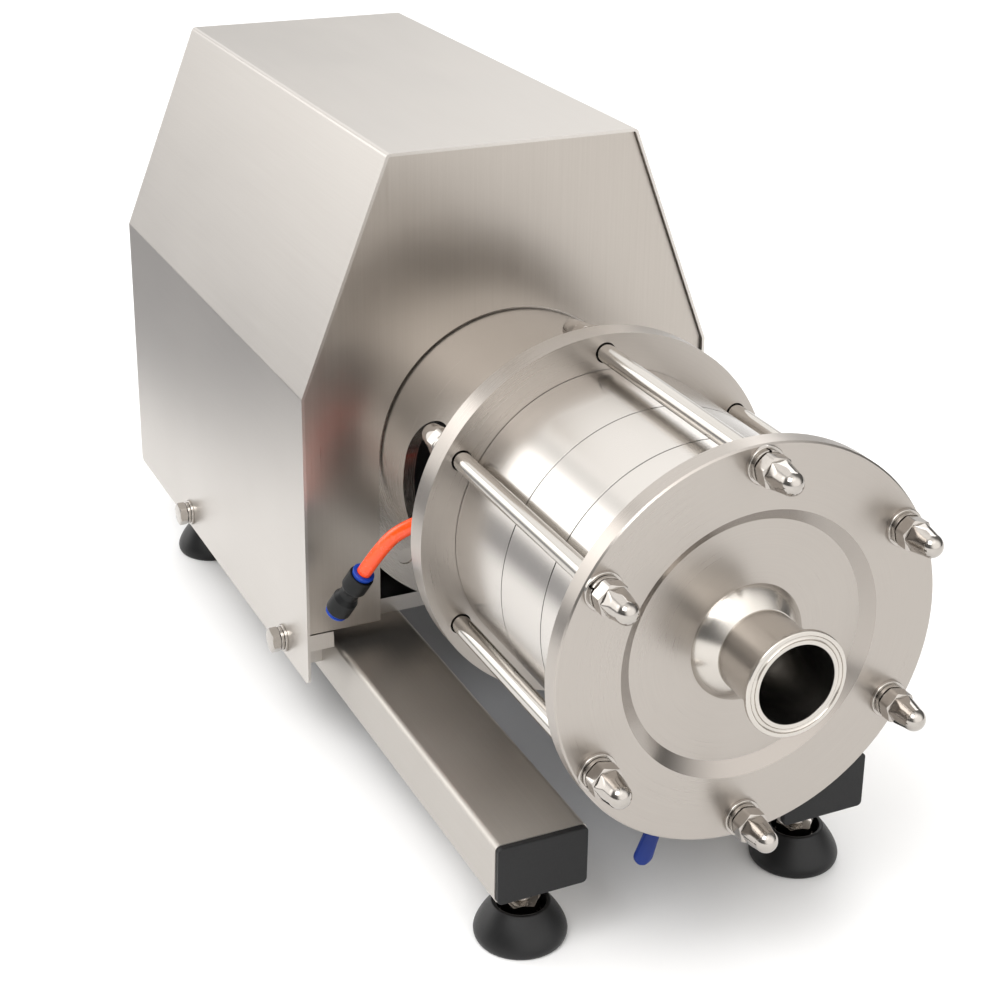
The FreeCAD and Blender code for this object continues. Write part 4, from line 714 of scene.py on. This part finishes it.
floor_half = 6              # metres, as are all places in this section
floor_corners = [(-floor_half, -floor_half, 0), (floor_half, -floor_half, 0),
                 (floor_half, floor_half, 0), (-floor_half, floor_half, 0)]
grey_lean, grey_starts, grey_full = -0.158, -0.33, -0.39
far_starts, far_full = 0.2, 0.75
# Stretch, shift and soft edge of the painted shadow under the pump
painted_shadow_stretch, painted_shadow_shift = (8.6, 2.7, 0.0), (0.0, -0.16, 0.0)
painted_shadow_edge, painted_shadow_full = 1.15, 0.55

floor_mesh = bpy.data.meshes.new("floor")
floor_mesh.from_pydata(floor_corners, [], [(0, 1, 2, 3)])
floor = bpy.data.objects.new("floor", floor_mesh)
bpy.context.scene.collection.objects.link(floor)
floor_finish, floor_tree, floor_shader, floor_place = new_finish("matt white paper floor")
# White paper. Behind on the left, where only the hood's side mirrors it, it falls off to grey: X plus
# the lean times Y gives the first edge, and Y the second
floor_parts = add(floor_tree, "ShaderNodeSeparateXYZ", {0: floor_place})
leaning = add(floor_tree, "ShaderNodeMath", {0: floor_parts.outputs["Y"], 1: grey_lean},
              operation="MULTIPLY")
aside = add(floor_tree, "ShaderNodeMath", {0: floor_parts.outputs["X"], 1: leaning.outputs[0]},
            operation="ADD")
left = add(floor_tree, "ShaderNodeMapRange", {"Value": aside.outputs[0], "From Min": grey_starts,
                                              "From Max": grey_full}, interpolation_type="SMOOTHSTEP")
far = add(floor_tree, "ShaderNodeMapRange", {"Value": floor_parts.outputs["Y"], "From Min": far_starts,
                                             "From Max": far_full}, interpolation_type="SMOOTHSTEP")
grey = add(floor_tree, "ShaderNodeMath", {0: left.outputs[0], 1: far.outputs[0]}, operation="MULTIPLY")
paper = add(floor_tree, "ShaderNodeMix", {"Factor": grey.outputs[0], "A": colour("#f4f4f4"),
                                          "B": colour("#8d8d8f")}, data_type="RGBA")
# Painted shadow: between the rails the floor is painted grey, an ellipse with a soft edge, so the
# underside stays dark
from_middle = add(floor_tree, "ShaderNodeVectorMath", {0: floor_place, 1: painted_shadow_stretch, 2: painted_shadow_shift},
                  operation="MULTIPLY_ADD")
painted_shadow_reach = add(floor_tree, "ShaderNodeVectorMath", {0: from_middle.outputs[0]}, operation="LENGTH")
painted_shadow = add(floor_tree, "ShaderNodeMapRange", {"Value": painted_shadow_reach.outputs["Value"], "From Min": painted_shadow_edge,
                                             "From Max": painted_shadow_full}, interpolation_type="SMOOTHSTEP")
paper = add(floor_tree, "ShaderNodeMix", {"Factor": painted_shadow.outputs[0], "A": paper.outputs["Result"],
                                          "B": colour("#abadb1")}, data_type="RGBA")
floor_tree.links.new(paper.outputs["Result"], floor_shader.inputs["Base Color"])
floor_shader.inputs["Roughness"].default_value = 0.75
floor_shader.inputs["Specular IOR Level"].default_value = 0.2
floor_mesh.materials.append(floor_finish)


def studio(base_low, base_high, panels, gap, gap_depth):
    """A soft surround: a shade that rises from the horizon to the top, and panels that fade at their
    edges. A panel is (direction, inner and outer angle in degrees, two sines of height between which its
    lower edge fades, strength). Behind the pump a narrow gap, square to the vector gap, takes gap_depth
    of the light away."""
    world = bpy.data.worlds.new("studio")
    world.use_nodes = True
    tree = world.node_tree
    tree.nodes.clear()
    way = add(tree, "ShaderNodeTexCoord").outputs["Generated"]
    parts = add(tree, "ShaderNodeSeparateXYZ", {0: way})
    height = parts.outputs["Z"]

    def fade(value, start, end, strength=1.0):
        made = add(tree, "ShaderNodeMapRange", {"Value": value, "From Min": start, "From Max": end,
                                                "To Max": strength}, interpolation_type="SMOOTHSTEP")
        return made.outputs[0]

    total = add(tree, "ShaderNodeMapRange", {"Value": height, "From Min": -0.1, "From Max": 0.9,
                                             "To Min": base_low, "To Max": base_high}).outputs[0]
    for direction, inner, outer, low, high, strength in panels:
        facing = add(tree, "ShaderNodeVectorMath", {0: way, 1: tuple(Vector(direction).normalized())},
                     operation="DOT_PRODUCT")
        glow = fade(facing.outputs["Value"], math.cos(math.radians(outer)),
                    math.cos(math.radians(inner)), strength)
        cut = add(tree, "ShaderNodeMath", {0: glow, 1: fade(height, low, high)}, operation="MULTIPLY")
        total = add(tree, "ShaderNodeMath", {0: total, 1: cut.outputs[0]}, operation="ADD").outputs[0]
    aside = add(tree, "ShaderNodeVectorMath", {0: way, 1: gap}, operation="DOT_PRODUCT")
    aside = add(tree, "ShaderNodeMath", {0: aside.outputs["Value"]}, operation="ABSOLUTE")
    dark = add(tree, "ShaderNodeMath", {0: fade(aside.outputs[0], 0.12, 0.03, gap_depth),
                                        1: fade(parts.outputs["Y"], 0.3, 0.6)}, operation="MULTIPLY")
    kept = add(tree, "ShaderNodeMath", {0: 1.0, 1: dark.outputs[0]}, operation="SUBTRACT")
    total = add(tree, "ShaderNodeMath", {0: total, 1: kept.outputs[0]}, operation="MULTIPLY").outputs[0]
    light = add(tree, "ShaderNodeBackground", {"Color": (1.0, 0.99, 0.975, 1.0), "Strength": total})
    add(tree, "ShaderNodeOutputWorld", {"Surface": light.outputs[0]})
    bpy.context.scene.world = world


no_edge = (-1.0, -0.9)
panels = [((-0.1, 0.85, 0.5), 30, 50, 0.16, 0.30, 1.3),         # behind and above
          ((-0.66, 0.72, 0.2), 12, 34, -0.12, 0.06, 1.9),       # low behind, on the left
          ((0.58, 0.81, 0.0), 5, 19, *no_edge, 0.9),            # low behind, on the right
          ((-0.25, -0.2, 0.95), 14, 44, *no_edge, 1.0),         # overhead
          ((0.2, -0.85, 0.35), 22, 62, *no_edge, 1.6)]          # in front
# The gap shows as the grey band along the casing
studio(0.13, 0.30, panels, (0.787, -0.048, 0.614), 0.42)


def area_light(name, place, target, size, power):
    """A square soft light that looks at a target, in metres."""
    light = bpy.data.lights.new(name, "AREA")
    light.shape = "SQUARE"
    light.size = size
    light.energy = power
    made = bpy.data.objects.new(name, light)
    made.location = place
    made.rotation_euler = (Vector(target) - Vector(place)).to_track_quat("-Z", "Y").to_euler()
    bpy.context.scene.collection.objects.link(made)


# A soft key light from above on the left, and a weaker one from behind on the right
pump_middle = (0, 0, 0.2)
area_light("key", (-1.6, -1.2, 2.6), pump_middle, 1.6, 50)
area_light("rim", (1.8, 1.4, 2.2), pump_middle, 1.4, 14)

# The camera as fitted to the photo: its angles, its place, and its focal length and centre in pixels
azimuth, elevation, roll = (math.radians(v) for v in (-26.666, 21.476, 1.335))
focal_pixels, centre_pixel, photo_pixels = 1993.83, (549.63, 379.11), 1000
camera_place = (-0.54387, -1.16862, 0.76289)
sensor_width = 36           # millimetres
back = Vector((math.sin(azimuth) * math.cos(elevation), -math.cos(azimuth) * math.cos(elevation),
               math.sin(elevation)))
right = Vector((math.cos(azimuth), math.sin(azimuth), 0))
upwards = back.cross(right)
tilted_right = right * math.cos(roll) + upwards * math.sin(roll)
tilted_up = upwards * math.cos(roll) - right * math.sin(roll)
camera_data = bpy.data.cameras.new("camera")
camera_data.sensor_width = sensor_width
camera_data.lens = sensor_width * focal_pixels / photo_pixels
camera_data.shift_x = (photo_pixels / 2 - centre_pixel[0]) / photo_pixels
camera_data.shift_y = (centre_pixel[1] - photo_pixels / 2) / photo_pixels
camera = bpy.data.objects.new("camera", camera_data)
turn = Matrix((tilted_right, tilted_up, back)).transposed()
camera.matrix_world = Matrix.Translation(camera_place) @ turn.to_4x4()
bpy.context.scene.collection.objects.link(camera)
bpy.context.scene.camera = camera
bpy.context.scene.view_settings.view_transform = "Standard"
